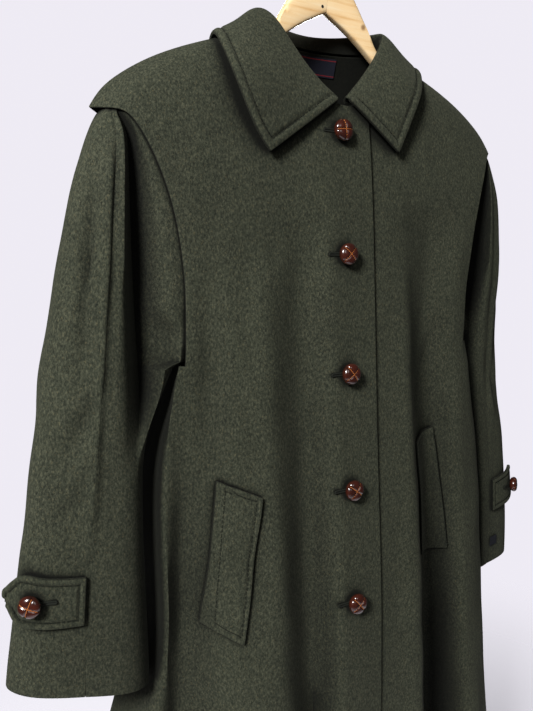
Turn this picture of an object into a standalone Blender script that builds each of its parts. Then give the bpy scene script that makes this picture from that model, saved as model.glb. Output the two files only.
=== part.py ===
# Loden coat on a wooden hanger, as one rigid part.
#
# Metres, +Z up, the coat's front faces -Y, and the wearer's left is +X. The origin
# is the inside of the hanger's hook, at its top. The tables below give heights from
# the neck level, where the shoulder seams meet the collar, and depths from the
# plane of the hanger. NECK_DROP lowers them to the part's own origin.

import math

import bpy
import numpy as np
from mathutils import Vector
from mathutils.bvhtree import BVHTree

# Driving sizes
NECK_DROP = 0.150          # hook's inner top down to the neck level
HEM = -1.100               # hem, from the neck level
UNDERARM = -0.335          # lowest point of the armhole
WALL = 0.0025              # one layer of loden with its backing
COLLAR_WALL = 0.0040       # two layers of loden at the collar
SEAM = 0.0003              # gap between two pieces that are sewn together
LAP = 0.033                # how far each front passes the centre line
LAP_LIFT = 0.0034          # the right front lies on the left one
LAP_STARTS = -0.062        # the right front rises onto the left one between here
LAP_FULL = -0.034          # and here
NECK_HALF = 0.088          # half width of the neckline at the shoulder seam
NECK_FRONT = -0.058        # height of the front neck edge
NECK_BACK = 0.014          # height of the back neck edge
BUTTON_DIAMETER = 0.024
CUFF_BUTTON_DIAMETER = 0.022
BUTTON_SPACING = 0.134
FIRST_BUTTON = -0.087
BUTTON_COUNT = 5
BUTTON_X = -0.009           # the row of buttons lies just past the centre line
SLEEVE_CLOSES = -0.329     # the sleeve is a closed tube below this height
RIGHT_CUFF = -0.662        # sleeve hems: the left sleeve hangs a little lower
LEFT_CUFF = -0.690


# Small tables and smooth curves through them

def table(columns, *rows):
    """A table as a dictionary of named columns, one row for each section or fold."""
    names = columns.split()
    return {name: np.array([row[i] for row in rows], float) for i, name in enumerate(names)}


def smooth(xs, ys, x):
    """Monotone cubic curve through the points, held flat past both ends."""
    order = np.argsort(xs)
    xs = np.asarray(xs, float)[order]
    ys = np.asarray(ys, float)[order]
    x = np.clip(x, xs[0], xs[-1])
    step = np.diff(xs)
    slope = np.diff(ys) / step
    tangent = np.zeros(len(xs))
    tangent[0], tangent[-1] = slope[0], slope[-1]
    for i in range(1, len(xs) - 1):
        if slope[i - 1] * slope[i] > 0:
            tangent[i] = 2.0 / (1.0 / slope[i - 1] + 1.0 / slope[i])
    i = int(np.clip(np.searchsorted(xs, x) - 1, 0, len(step) - 1))
    t = (x - xs[i]) / step[i]
    return ((1 + 2 * t) * (1 - t) ** 2 * ys[i] + t * (1 - t) ** 2 * step[i] * tangent[i]
            + t * t * (3 - 2 * t) * ys[i + 1] + t * t * (t - 1) * step[i] * tangent[i + 1])


def at(rows, column, z):
    return smooth(rows["z"], rows[column], z)


def through(points, w):
    """Rounded curve through points in a row, at place w along their numbers."""
    points = np.asarray(points, float)
    last = len(points) - 1
    w = min(max(w, 0.0), last)
    i = min(int(w), last - 1)
    t = w - i
    before = points[i - 1] if i > 0 else 2 * points[0] - points[1]
    after = points[i + 2] if i + 2 <= last else 2 * points[last] - points[last - 1]
    start, end = points[i], points[i + 1]
    a = -0.5 * before + 1.5 * start - 1.5 * end + 0.5 * after
    b = before - 2.5 * start + 2.0 * end - 0.5 * after
    c = 0.5 * (end - before)
    return ((a * t + b) * t + c) * t + start


def ramp(x, start, end):
    """Soft step from 0 at start to 1 at end."""
    t = min(max((x - start) / (end - start), 0.0), 1.0)
    return t * t * (3 - 2 * t)


def hump(x, middle, width):
    return math.exp(-((x - middle) / width) ** 2)


# Shoulder and neck lines, the same on both sides

SHOULDER = table(
    "x      z",
    (0.000, 0.072),
    (NECK_HALF, 0.019),
    (0.115, 0.009),
    (0.146, -0.001),
    (0.180, -0.0135),
    (0.218, -0.031),
    (0.245, -0.0485),
    (0.262, -0.0625),
    (0.270, -0.0720),
    (0.2755, -0.0830),
)
NECKLINE_FRONT = table(
    "x      z",
    (0.000, NECK_FRONT),
    (0.030, -0.053),
    (0.060, -0.031),
    (0.080, -0.004),
    (NECK_HALF, 0.019),
)
NECKLINE_BACK = table(
    "x      z",
    (0.000, NECK_BACK),
    (0.045, 0.0145),
    (0.075, 0.0165),
    (NECK_HALF, 0.019),
)
TIP_Z = SHOULDER["z"][-1]

# Sections through the body. Each gives the centre, a point on the chest, the edge
# over the sleeve (or the line below it), the rounded corner and the side seam.

RIGHT_FRONT = table(
    "z        mid_y   chest_x  chest_y  edge_x  edge_y  corner_x corner_y side_x  side_y",
    (0.020, -0.030, 0.088, -0.034, 0.2755, -0.034, 0.278, -0.034, 0.278, 0.000),
    (-0.083, -0.0425, 0.092, -0.0425, 0.2755, -0.036, 0.278, -0.034, 0.278, 0.000),
    (-0.085, -0.0430, 0.093, -0.0430, 0.2560, -0.036, 0.278, -0.034, 0.278, 0.000),
    (-0.091, -0.0440, 0.094, -0.0440, 0.2450, -0.037, 0.278, -0.034, 0.278, 0.000),
    (-0.110, -0.0470, 0.097, -0.0470, 0.2330, -0.040, 0.240, -0.034, 0.278, 0.000),
    (-0.150, -0.052, 0.102, -0.052, 0.216, -0.045, 0.222, -0.034, 0.240, 0.000),
    (-0.200, -0.058, 0.110, -0.057, 0.203, -0.048, 0.210, -0.034, 0.220, 0.000),
    (-0.270, -0.064, 0.118, -0.062, 0.197, -0.050, 0.202, -0.036, 0.200, 0.000),
    (-0.335, -0.070, 0.122, -0.066, 0.1985, -0.051, 0.2005, -0.042, 0.195, 0.000),
    (-0.366, -0.073, 0.124, -0.067, 0.200, -0.052, 0.2075, -0.043, 0.204, 0.000),
    (-0.400, -0.076, 0.127, -0.069, 0.202, -0.054, 0.219, -0.045, 0.217, 0.000),
    (-0.440, -0.080, 0.130, -0.071, 0.204, -0.058, 0.225, -0.050, 0.227, 0.000),
    (-0.500, -0.086, 0.136, -0.075, 0.206, -0.061, 0.228, -0.055, 0.232, 0.000),
    (-0.630, -0.099, 0.150, -0.085, 0.208, -0.069, 0.226, -0.060, 0.229, 0.000),
    (-0.740, -0.106, 0.160, -0.092, 0.222, -0.073, 0.247, -0.060, 0.256, 0.004),
    (-0.860, -0.111, 0.176, -0.097, 0.250, -0.078, 0.280, -0.058, 0.290, 0.006),
    (-1.100, -0.118, 0.205, -0.104, 0.295, -0.084, 0.328, -0.060, 0.342, 0.010),
)
LEFT_FRONT = table(
    "z        mid_y   chest_x  chest_y  edge_x  edge_y  corner_x corner_y side_x  side_y",
    (0.020, -0.030, 0.088, -0.034, 0.2755, -0.034, 0.278, -0.034, 0.278, 0.000),
    (-0.083, -0.0425, 0.092, -0.0425, 0.2755, -0.036, 0.278, -0.034, 0.278, 0.000),
    (-0.085, -0.0430, 0.093, -0.0430, 0.2600, -0.036, 0.278, -0.034, 0.278, 0.000),
    (-0.091, -0.0440, 0.094, -0.0440, 0.2500, -0.037, 0.278, -0.034, 0.278, 0.000),
    (-0.110, -0.0470, 0.097, -0.0470, 0.2385, -0.040, 0.240, -0.034, 0.278, 0.000),
    (-0.150, -0.052, 0.102, -0.052, 0.224, -0.045, 0.230, -0.034, 0.240, 0.000),
    (-0.200, -0.058, 0.110, -0.056, 0.213, -0.048, 0.220, -0.034, 0.220, 0.000),
    (-0.270, -0.064, 0.120, -0.061, 0.207, -0.048, 0.215, -0.034, 0.212, 0.000),
    (-0.335, -0.070, 0.126, -0.065, 0.207, -0.048, 0.213, -0.034, 0.208, 0.000),
    (-0.366, -0.073, 0.130, -0.067, 0.211, -0.050, 0.223, -0.035, 0.213, 0.002),
    (-0.400, -0.076, 0.134, -0.069, 0.216, -0.052, 0.234, -0.036, 0.217, 0.003),
    (-0.440, -0.080, 0.140, -0.072, 0.222, -0.054, 0.245, -0.036, 0.222, 0.004),
    (-0.500, -0.086, 0.146, -0.077, 0.230, -0.057, 0.257, -0.038, 0.228, 0.004),
    (-0.630, -0.099, 0.156, -0.086, 0.243, -0.064, 0.269, -0.043, 0.240, 0.004),
    (-0.740, -0.106, 0.166, -0.093, 0.252, -0.070, 0.276, -0.048, 0.262, 0.004),
    (-0.860, -0.111, 0.180, -0.098, 0.266, -0.076, 0.290, -0.052, 0.292, 0.005),
    (-1.100, -0.118, 0.206, -0.104, 0.292, -0.084, 0.322, -0.060, 0.340, 0.010),
)
BACK = table(
    "z        mid_y   chest_y  edge_y  corner_y right_corner_x left_corner_x",
    (0.020, 0.035, 0.034, 0.031, 0.030, 0.278, 0.278),
    (-0.080, 0.043, 0.042, 0.036, 0.032, 0.278, 0.278),
    (-0.110, 0.045, 0.044, 0.038, 0.033, 0.240, 0.240),
    (-0.200, 0.051, 0.050, 0.045, 0.035, 0.210, 0.220),
    (-0.335, 0.058, 0.056, 0.051, 0.036, 0.196, 0.214),
    (-0.366, 0.060, 0.057, 0.052, 0.036, 0.207, 0.218),
    (-0.440, 0.063, 0.059, 0.053, 0.038, 0.222, 0.226),
    (-0.500, 0.066, 0.062, 0.055, 0.040, 0.227, 0.231),
    (-0.630, 0.071, 0.067, 0.060, 0.043, 0.228, 0.243),
    (-0.740, 0.075, 0.071, 0.063, 0.046, 0.252, 0.264),
    (-0.860, 0.079, 0.074, 0.066, 0.050, 0.284, 0.290),
    (-1.100, 0.086, 0.080, 0.072, 0.056, 0.332, 0.332),
)
ROUND_OVER = 0.090         # drop below the shoulder line over which the depth grows

# Soft folds of the body, as heights over the section (a trough is below zero).
# x is the place across, from the centre, and side is +1 on the wearer's left.

FRONT_FOLDS = table(
    "side  top_z    top_x   low_z    low_x   width  height",
    (-1, -0.40, 0.200, -0.78, 0.186, 0.018, -0.007),
    (-1, -0.38, 0.218, -0.80, 0.224, 0.012, 0.005),
    (-1, -0.36, 0.086, -1.30, 0.072, 0.026, -0.006),
    (-1, -0.74, 0.245, -1.30, 0.270, 0.030, 0.010),
    (-1, -0.70, 0.135, -1.30, 0.130, 0.034, 0.009),
    (1, -0.24, 0.072, -1.30, 0.096, 0.024, 0.005),
    (1, -0.56, 0.118, -1.30, 0.178, 0.021, -0.026),
    (1, -0.60, 0.190, -1.30, 0.235, 0.024, 0.010),
    (1, -0.30, 0.160, -0.70, 0.165, 0.030, 0.003),
)
BACK_FOLDS = table(
    "side  top_z    top_x   low_z    low_x   width  height",
    (-1, -0.20, 0.060, -1.30, 0.105, 0.028, -0.014),
    (-1, -0.50, 0.130, -1.30, 0.175, 0.026, 0.012),
    (-1, -0.62, 0.190, -1.30, 0.240, 0.024, -0.015),
    (1, -0.14, 0.030, -1.30, 0.020, 0.026, 0.010),
    (1, -0.42, 0.085, -1.30, 0.100, 0.024, -0.016),
    (1, -0.55, 0.165, -1.30, 0.195, 0.030, 0.011),
    (1, -0.68, 0.215, -1.30, 0.262, 0.022, -0.013),
)


def shoulder_height(x):
    return smooth(SHOULDER["x"], SHOULDER["z"], abs(x))


def neckline_height(x, back):
    line = NECKLINE_BACK if back else NECKLINE_FRONT
    return smooth(line["x"], line["z"], abs(x))


def top_height(x, back):
    """Upper edge of a body panel: the neckline, then the shoulder seam."""
    if x < NECK_HALF:
        return neckline_height(max(x, 0.0), back)
    return shoulder_height(x)


def fold_height(folds, side, x, z):
    """Height of all folds at a place, growing from nothing at each fold's top."""
    total = 0.0
    for i in range(len(folds["side"])):
        across = side * x
        own_side = folds["side"][i]
        down = (folds["top_z"][i] - z) / (folds["top_z"][i] - folds["low_z"][i])
        if down <= 0 or down > 1.0:
            continue
        middle = own_side * (folds["top_x"][i] + (folds["low_x"][i] - folds["top_x"][i]) * down)
        growth = ramp(down, 0.0, 0.7) * (1.0 - ramp(down, 0.9, 1.0))
        total += folds["height"][i] * growth * hump(across, middle, folds["width"][i])
    return total


def rounded(x, z):
    """Share of the full depth that the section has, just below the shoulder line."""
    drop = max(shoulder_height(x) - z, 0.0)
    return math.sqrt(1.0 - (1.0 - min(drop / ROUND_OVER, 1.0)) ** 2)


def section_point(side, back, w, z):
    """Place (x, y) on a section. w: 0 centre, 1 chest, 2 edge, 3 corner, 4 side seam."""
    rows = LEFT_FRONT if side > 0 else RIGHT_FRONT
    chest_x, edge_x = at(rows, "chest_x", z), at(rows, "edge_x", z)
    side_seam = (at(rows, "side_x", z), at(rows, "side_y", z))
    if back:
        corner_x = at(BACK, "left_corner_x" if side > 0 else "right_corner_x", z)
        ys = [at(BACK, name, z) for name in ("mid_y", "chest_y", "edge_y", "corner_y")]
    else:
        corner_x = at(rows, "corner_x", z)
        ys = [at(rows, name, z) for name in ("mid_y", "chest_y", "edge_y", "corner_y")]
    points = [(-chest_x, ys[1]), (0.0, ys[0]), (chest_x, ys[1]), (edge_x, ys[2])]
    points += [(corner_x, ys[3]), side_seam]
    return through(points, w + 1.0)


def body_point(side, back, w, z):
    """Point on the coat's outer face, with its folds."""
    px, py = section_point(side, back, w, z)
    folds = BACK_FOLDS if back else FRONT_FOLDS
    out = fold_height(folds, side, px, z) * (1.0 - ramp(w, 3.3, 4.0))
    py = py + (out if back else -out)
    py = py * rounded(px, z)
    return np.array([side * px, py, z])


def body_depth(side, back, x, z):
    """Depth y of the outer face at a place (x, z), with x measured outwards."""
    low, high = 0.0, 2.6
    for _ in range(24):
        middle = 0.5 * (low + high)
        if section_point(side, back, middle, z)[0] < x:
            low = middle
        else:
            high = middle
    return body_point(side, back, low, z)[1]


# Solids from grids of points

THINNING_ROUNDS = 12


def material(name, colour, roughness, metallic=0.0):
    made = bpy.data.materials.new(name)
    made.use_nodes = True
    shader = made.node_tree.nodes["Principled BSDF"]
    shader.inputs["Base Color"].default_value = (*colour, 1.0)
    shader.inputs["Roughness"].default_value = roughness
    shader.inputs["Metallic"].default_value = metallic
    made.diffuse_color = (*colour, 1.0)
    return made


def add_object(name, points, faces, finish, crease_angle=50):
    """Object from points in the coat's frame, lowered to the hook's frame."""
    mesh = bpy.data.meshes.new(name)
    mesh.from_pydata([(p[0], p[1], p[2] - NECK_DROP) for p in points], [], faces)
    mesh.validate()
    mesh.update()
    made = bpy.data.objects.new(name, mesh)
    bpy.context.scene.collection.objects.link(made)
    mesh.materials.append(finish)
    mesh.shade_smooth()
    mesh.set_sharp_from_angle(angle=math.radians(crease_angle))
    return made


def normals_of(grid, outward):
    """Unit normals of a grid of points, turned the way that outward(point) points."""
    along = np.gradient(grid, axis=0)
    across = np.gradient(grid, axis=1)
    normal = np.cross(along, across)
    length = np.linalg.norm(normal, axis=2, keepdims=True)
    normal = normal / np.maximum(length, 1e-9)
    middle = (grid.shape[0] // 2, grid.shape[1] // 2)
    if np.dot(normal[middle], outward) < 0:
        normal = -normal
    return normal


def crossing_points(outer, inner, cells):
    """Grid places whose faces cross another face of the same wall."""
    rows, columns = outer.shape[:2]
    points = np.concatenate([outer.reshape(-1, 3), inner.reshape(-1, 3)])
    triangles = []
    for r, c in zip(*np.nonzero(cells)):
        a = r * columns + c
        for start in (a, rows * columns + a):
            low, beside, above = start, start + 1, start + columns
            triangles += [(low, beside, above + 1), (low, above + 1, above)]
    tree = BVHTree.FromPolygons([tuple(p) for p in points], triangles)
    crossed = np.zeros((rows, columns), bool)
    for first, second in tree.overlap(tree):
        if not set(triangles[first]) & set(triangles[second]):
            for corner in triangles[first]:
                place = corner % (rows * columns)
                crossed[place // columns, place % columns] = True
    return crossed


def thin_where_crossed(outer, inner, cells):
    """Bring the inner grid closer to the outer one where a tight fold makes it cross."""
    inner = inner.copy()
    for _ in range(THINNING_ROUNDS):
        crossed = crossing_points(outer, inner, cells)
        if not crossed.any():
            break
        inner[crossed] = outer[crossed] + (inner - outer)[crossed] * 0.85
    return inner


def wall(name, outer, inner, cells, finish):
    """Closed wall between an outer and an inner grid, over the cells that are kept."""
    inner = thin_where_crossed(outer, inner, cells)
    rows, columns = cells.shape
    points, numbers = [], {}

    def number(layer, r, c):
        key = (layer, r, c)
        if key not in numbers:
            numbers[key] = len(points)
            points.append((outer if layer == 0 else inner)[r, c])
        return numbers[key]

    faces, edges = [], {}
    for r in range(rows):
        for c in range(columns):
            if not cells[r, c]:
                continue
            ring = [(r, c), (r, c + 1), (r + 1, c + 1), (r + 1, c)]
            for corners in (ring[:3], [ring[0], ring[2], ring[3]]):
                faces.append([number(0, *p) for p in corners])
                faces.append([number(1, *p) for p in reversed(corners)])
            for a, b in zip(ring, ring[1:] + ring[:1]):
                edges[(a, b)] = True
    for a, b in edges:
        if (b, a) not in edges:
            faces.append([number(0, *b), number(0, *a), number(1, *a), number(1, *b)])
    made = add_object(name, points, faces, finish)
    turn_outwards(made)
    return made


def turn_outwards(made):
    """Flip every face where the closed solid is inside out."""
    mesh = made.data
    volume = 0.0
    for face in mesh.polygons:
        corners = [mesh.vertices[i].co for i in face.vertices]
        for second, third in zip(corners[1:], corners[2:]):
            volume += corners[0].dot(second.cross(third))
    if volume < 0:
        mesh.flip_normals()


def flatten(normal, axis):
    """Unit normals with one part taken out, so that two sewn edges meet squarely."""
    normal = normal.copy()
    normal[..., axis] = 0.0
    return normal / np.maximum(np.linalg.norm(normal, axis=-1, keepdims=True), 1e-9)


# Body panels

LOWER_ROWS = (HEM, -1.03, -0.96, -0.885, -0.81, -0.74, -0.67, -0.61, -0.555, -0.50,
              -0.45, -0.405, -0.366)
UPPER_ROWS = (0.0, 0.14, 0.28, 0.41, 0.53, 0.64, 0.74, 0.82, 0.88, 0.925, 0.957, 0.978,
              0.992, 1.0)
CENTRE_COLUMNS = (0.0, 0.25, 0.5, 0.72, 0.88, 1.0)
CHEST_COLUMNS = (1.12, 1.27, 1.45, 1.62, 1.78, 1.9, 2.0)
SIDE_COLUMNS = (2.5, 3.0, 3.35, 3.7, 4.0)


def panel_rows(side, back, w, x=None):
    """One column of a body panel, from hem to top edge.

    Above the underarm the columns follow the edge over the sleeve, and those outside
    it stay at the underarm. x is given for the columns close to the centre line, which
    both fronts share.
    """
    if x is not None:
        low = [near_centre(side, x, z) for z in LOWER_ROWS]
        rise_to = top_height(x, back) - UNDERARM
        return low + [near_centre(side, x, UNDERARM + rise_to * rise) for rise in UPPER_ROWS]
    points = [body_point(side, back, w, z) for z in LOWER_ROWS]
    if w > 2.0:
        points.append(body_point(side, back, w, UNDERARM))
        return points + [points[-1]] * (len(UPPER_ROWS) - 1)
    top = top_height(section_point(side, back, w, TIP_Z)[0], back)
    for rise in UPPER_ROWS:
        beside = section_point(side, back, w, UNDERARM + (TIP_Z - UNDERARM) * rise)[0]
        z = UNDERARM + (top - UNDERARM) * rise
        points.append(np.array([side * beside, body_depth(side, back, beside, z), z]))
    return points


def near_centre(side, x, z):
    """Point near the centre line. Past it, the point lies in the other front's surface."""
    return np.array([side * x, body_depth(side if x >= 0 else -side, False, abs(x), z), z])


def kept_cells(columns, narrow):
    """Cells of a panel: all below the underarm, and only the narrow ones above it."""
    rows = len(LOWER_ROWS) + len(UPPER_ROWS) - 1
    cells = np.ones((rows, columns - 1), bool)
    for c in range(columns - 1):
        if not narrow[c]:
            cells[len(LOWER_ROWS):, c] = False
    return cells


def sew_edges(grid, normal, seam_columns, back):
    """Square up the normals at the side and shoulder seams and open the seam gap."""
    toward = 1.0 if back else -1.0
    for c in seam_columns:
        normal[:, c] = flatten(normal[:, c], 1)
        grid[:, c, 1] += toward * SEAM / 2
    top = grid[-1]
    for c in range(grid.shape[1]):
        if abs(top[c, 0]) >= NECK_HALF - 0.001 and abs(top[c, 1]) < 0.002:
            normal[-1, c] = flatten(normal[-1, c], 1)
            grid[-1, c, 1] = toward * SEAM / 2
            grid[-1, c, 2] -= 0.0001


def front_panel(name, side, finish):
    near = [-LAP, -0.6 * LAP, 0.0, 0.6 * LAP, LAP]
    ws = [0.0] * len(near) + list(CENTRE_COLUMNS[2:] + CHEST_COLUMNS + SIDE_COLUMNS)
    xs = near + [None] * (len(ws) - len(near))
    grid = np.array([panel_rows(side, False, w, x) for w, x in zip(ws, xs)])
    grid = grid.transpose(1, 0, 2)
    if side < 0:
        for r in range(grid.shape[0]):
            for c in range(grid.shape[1]):
                lift = LAP_LIFT * ramp(grid[r, c, 0], LAP_STARTS, LAP_FULL)
                grid[r, c, 1] -= lift
    narrow = [w <= 2.0 for w in ws[1:]]
    edge = narrow.count(True)
    full = len(LOWER_ROWS)
    normal = np.empty_like(grid)
    normal[:full + 1] = normals_of(grid[:full + 1], (0, -1, 0))
    normal[full:, :edge + 1] = normals_of(grid[full:, :edge + 1], (0, -1, 0))
    normal[full + 1:, edge + 1:] = (0, -1, 0)
    sew_edges(grid, normal, [len(ws) - 1], False)
    return wall(name, grid, grid - WALL * normal, kept_cells(len(ws), narrow), finish)


def back_panel(name, finish):
    half = list(CENTRE_COLUMNS[1:] + CHEST_COLUMNS + SIDE_COLUMNS)
    right = [panel_rows(-1, True, w) for w in reversed(half)]
    left = [panel_rows(1, True, w) for w in half]
    grid = np.array(right + [panel_rows(1, True, 0.0)] + left).transpose(1, 0, 2)
    ws = list(reversed(half)) + [0.0] + half
    narrow = [a <= 2.0 and b <= 2.0 for a, b in zip(ws, ws[1:])]
    first, last = narrow.index(True), len(narrow) - narrow[::-1].index(True)
    full = len(LOWER_ROWS)
    normal = np.empty_like(grid)
    normal[:full + 1] = normals_of(grid[:full + 1], (0, 1, 0))
    normal[full:, first:last + 1] = normals_of(grid[full:, first:last + 1], (0, 1, 0))
    for c in list(range(first)) + list(range(last + 1, len(ws))):
        normal[full + 1:, c] = (0, 1, 0)
    sew_edges(grid, normal, [0, len(ws) - 1], True)
    return wall(name, grid, grid - WALL * normal, kept_cells(len(ws), narrow), finish)


# Sleeves. The right one is measured, the left one hangs a little further back.

SLEEVE = table(
    "z        out_x   mid_y    seam_x  seam_y   face_x  face_y   crease_x crease_y roll_x  roll_y  back_y",
    (-0.0825, 0.2645, -0.002, 0.253, -0.014, 0.249, -0.018, 0.244, -0.018, 0.238, -0.020, 0.014),
    (-0.089, 0.2700, -0.002, 0.255, -0.020, 0.250, -0.023, 0.2445, -0.020, 0.238, -0.025, 0.020),
    (-0.103, 0.2780, -0.003, 0.257, -0.026, 0.251, -0.030, 0.2445, -0.021, 0.237, -0.031, 0.024),
    (-0.125, 0.2870, -0.004, 0.260, -0.032, 0.2525, -0.036, 0.2440, -0.022, 0.232, -0.036, 0.027),
    (-0.160, 0.2990, -0.006, 0.264, -0.036, 0.2545, -0.040, 0.2437, -0.022, 0.226, -0.041, 0.029),
    (-0.200, 0.3090, -0.008, 0.268, -0.039, 0.2570, -0.043, 0.2433, -0.021, 0.221, -0.043, 0.029),
    (-0.250, 0.3200, -0.010, 0.274, -0.042, 0.2590, -0.046, 0.2425, -0.022, 0.218, -0.045, 0.028),
    (-0.300, 0.3300, -0.012, 0.279, -0.044, 0.2600, -0.048, 0.2415, -0.023, 0.218, -0.046, 0.027),
    (-0.350, 0.3385, -0.014, 0.284, -0.046, 0.2610, -0.050, 0.2405, -0.026, 0.222, -0.047, 0.024),
    (-0.390, 0.3450, -0.016, 0.289, -0.048, 0.2640, -0.051, 0.2440, -0.036, 0.2345, -0.043, 0.020),
    (-0.420, 0.3500, -0.017, 0.292, -0.049, 0.2680, -0.052, 0.2520, -0.048, 0.2440, -0.042, 0.019),
    (-0.450, 0.3550, -0.018, 0.295, -0.050, 0.2720, -0.053, 0.2570, -0.051, 0.2460, -0.043, 0.017),
    (-0.550, 0.3715, -0.020, 0.307, -0.054, 0.2800, -0.057, 0.2600, -0.055, 0.2470, -0.046, 0.013),
    (-0.650, 0.3850, -0.022, 0.313, -0.056, 0.2800, -0.060, 0.2580, -0.057, 0.2440, -0.047, 0.009),
    (-0.690, 0.3880, -0.022, 0.314, -0.056, 0.2800, -0.060, 0.2580, -0.057, 0.2430, -0.047, 0.008),
)
SLEEVE_INNER = table(
    "z        right_x  left_x",
    (-0.329, 0.1970, 0.220),
    (-0.345, 0.2060, 0.228),
    (-0.366, 0.2180, 0.236),
    (-0.391, 0.2290, 0.243),
    (-0.430, 0.2375, 0.250),
    (-0.500, 0.2400, 0.257),
    (-0.600, 0.2380, 0.264),
    (-0.690, 0.2360, 0.270),
)
SLEEVE_ROWS = (-0.0825, -0.089, -0.103, -0.125, -0.155, -0.190, -0.230, -0.270, -0.300,
               -0.318, SLEEVE_CLOSES, -0.345, -0.366, -0.391, -0.425)
TUBE_ROWS = 7              # evenly spaced rows from there to the hem
FRONT_STEPS = (0.0, 1.0, 1.5, 2.0, 2.5, 3.0, 3.5, 4.0, 4.5, 5.0)
BACK_STEPS = (5.0, 5.5, 6.0, 6.5, 7.0, 7.5, 8.0, 9.0, 9.5, 10.0, 10.5, 11.0, 12.0, 13.0)
LEFT_SHIFT_Y = 0.028
LEFT_SHALLOWER = 0.013     # the left sleeve's crease, beside the underarm
LEFT_NARROWER = 0.011      # the left sleeve's outer side, near its top
TUCK = 0.015               # how far the sleeve reaches under the edge of the body
HEAD_REACH = 0.022         # least width of the sleeve beyond that edge, at its head
CLOSING_FROM = 0.285       # drop below the neck level where the sleeve starts to close
CUFF_TILT = 0.23           # the right sleeve's hem hangs higher on its outer side
UNDER_EDGE = WALL + 0.0012


def blend(points, others, share):
    """Points on the way from one list to the other."""
    return [tuple(np.add(np.multiply(a, 1 - share), np.multiply(b, share)))
            for a, b in zip(points, others)]


def sleeve_ring(side, z):
    """Points (x, y) of a sleeve's section, from under the front edge to under the back."""
    shift = LEFT_SHIFT_Y * ramp(-z, 0.14, 0.42) if side > 0 else 0.0
    value = {name: at(SLEEVE, name, z) for name in SLEEVE if name != "z"}
    for name in ("mid_y", "seam_y", "face_y", "crease_y", "roll_y", "back_y"):
        value[name] += shift
    wider = at(SLEEVE_INNER, "left_x", z) - at(SLEEVE_INNER, "right_x", z) if side > 0 else 0.0
    below = ramp(-z, 0.33, 0.45)
    for name in ("face_x", "crease_x", "roll_x"):
        value[name] += wider * (below if name != "face_x" else 0.5 * below)
    if side > 0:
        value["crease_y"] -= LEFT_SHALLOWER * ramp(-z, 0.26, 0.32) * (1 - ramp(-z, 0.38, 0.42))
    middle, back = value["mid_y"], value["back_y"]
    half = back - middle
    out = value["out_x"] - 0.002
    if side > 0:
        out -= LEFT_NARROWER * ramp(-z, 0.10, 0.20) * (1.0 - ramp(-z, 0.35, 0.50))
    if z > SLEEVE_CLOSES:
        edge = at(LEFT_FRONT if side > 0 else RIGHT_FRONT, "edge_x", z)
        near = min(edge - 0.001, out - HEAD_REACH)
        deep = near - TUCK
        for name, step in (("roll_x", 0.0040), ("crease_x", 0.0080), ("face_x", 0.0115),
                           ("seam_x", 0.0150)):
            value[name] = max(value[name], near + step)
        front = [(deep, body_depth(side, False, deep, z) + UNDER_EDGE),
                 (near, body_depth(side, False, near, z) + UNDER_EDGE)]
        rear = [(near, body_depth(side, True, near, z) - UNDER_EDGE),
                (deep, body_depth(side, True, deep, z) - UNDER_EDGE)]
    else:
        front, rear = [], []
    closed = ramp(-z, CLOSING_FROM, -SLEEVE_CLOSES)
    if closed > 0:
        inner = at(SLEEVE_INNER, "left_x" if side > 0 else "right_x", z)
        for name, step in (("roll_x", 0.0050), ("crease_x", 0.0120)):
            value[name] = max(value[name], (inner + step) * closed + value[name] * (1 - closed))
        front_half = middle - value["roll_y"]
        tube_front = [(inner, middle), (inner + 0.0015, middle - 0.55 * front_half)]
        tube_rear = [(inner + 0.002, middle + 0.55 * half), (inner, middle)]
        front = blend(front or tube_front, tube_front, closed)
        rear = blend(rear or tube_rear, tube_rear, closed)
    outer_x = value["seam_x"] + 0.7 * (out - value["seam_x"])
    ring = front + [
        (value["roll_x"], value["roll_y"]),
        (value["crease_x"], value["crease_y"]),
        (value["face_x"], value["face_y"]),
        (value["seam_x"], value["seam_y"]),
        (outer_x, middle - 0.72 * (middle - value["seam_y"])),
        (out, middle),
        (outer_x, middle + 0.78 * half),
        (0.5 * (value["seam_x"] + value["face_x"]), back),
        (0.5 * (value["crease_x"] + value["face_x"]), back - 0.10 * half),
        (value["roll_x"] + 0.002, back - 0.04 * half),
    ] + rear
    return ring


def sleeve_rows(side):
    hem = LEFT_CUFF if side > 0 else RIGHT_CUFF
    return list(SLEEVE_ROWS) + list(np.linspace(SLEEVE_ROWS[-1], hem, TUBE_ROWS + 1)[1:])


def sleeve_grid(side, steps):
    rows = []
    for z in sleeve_rows(side):
        ring = sleeve_ring(side, z)
        middle_x = 0.5 * (ring[0][0] + ring[7][0])
        tilt = CUFF_TILT * ramp(-z, 0.59, -RIGHT_CUFF) if side < 0 else 0.0
        places = [through(ring, w) for w in steps]
        rows.append([(side * x, y, z + tilt * (x - middle_x)) for x, y in places])
    return np.array(rows)


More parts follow.
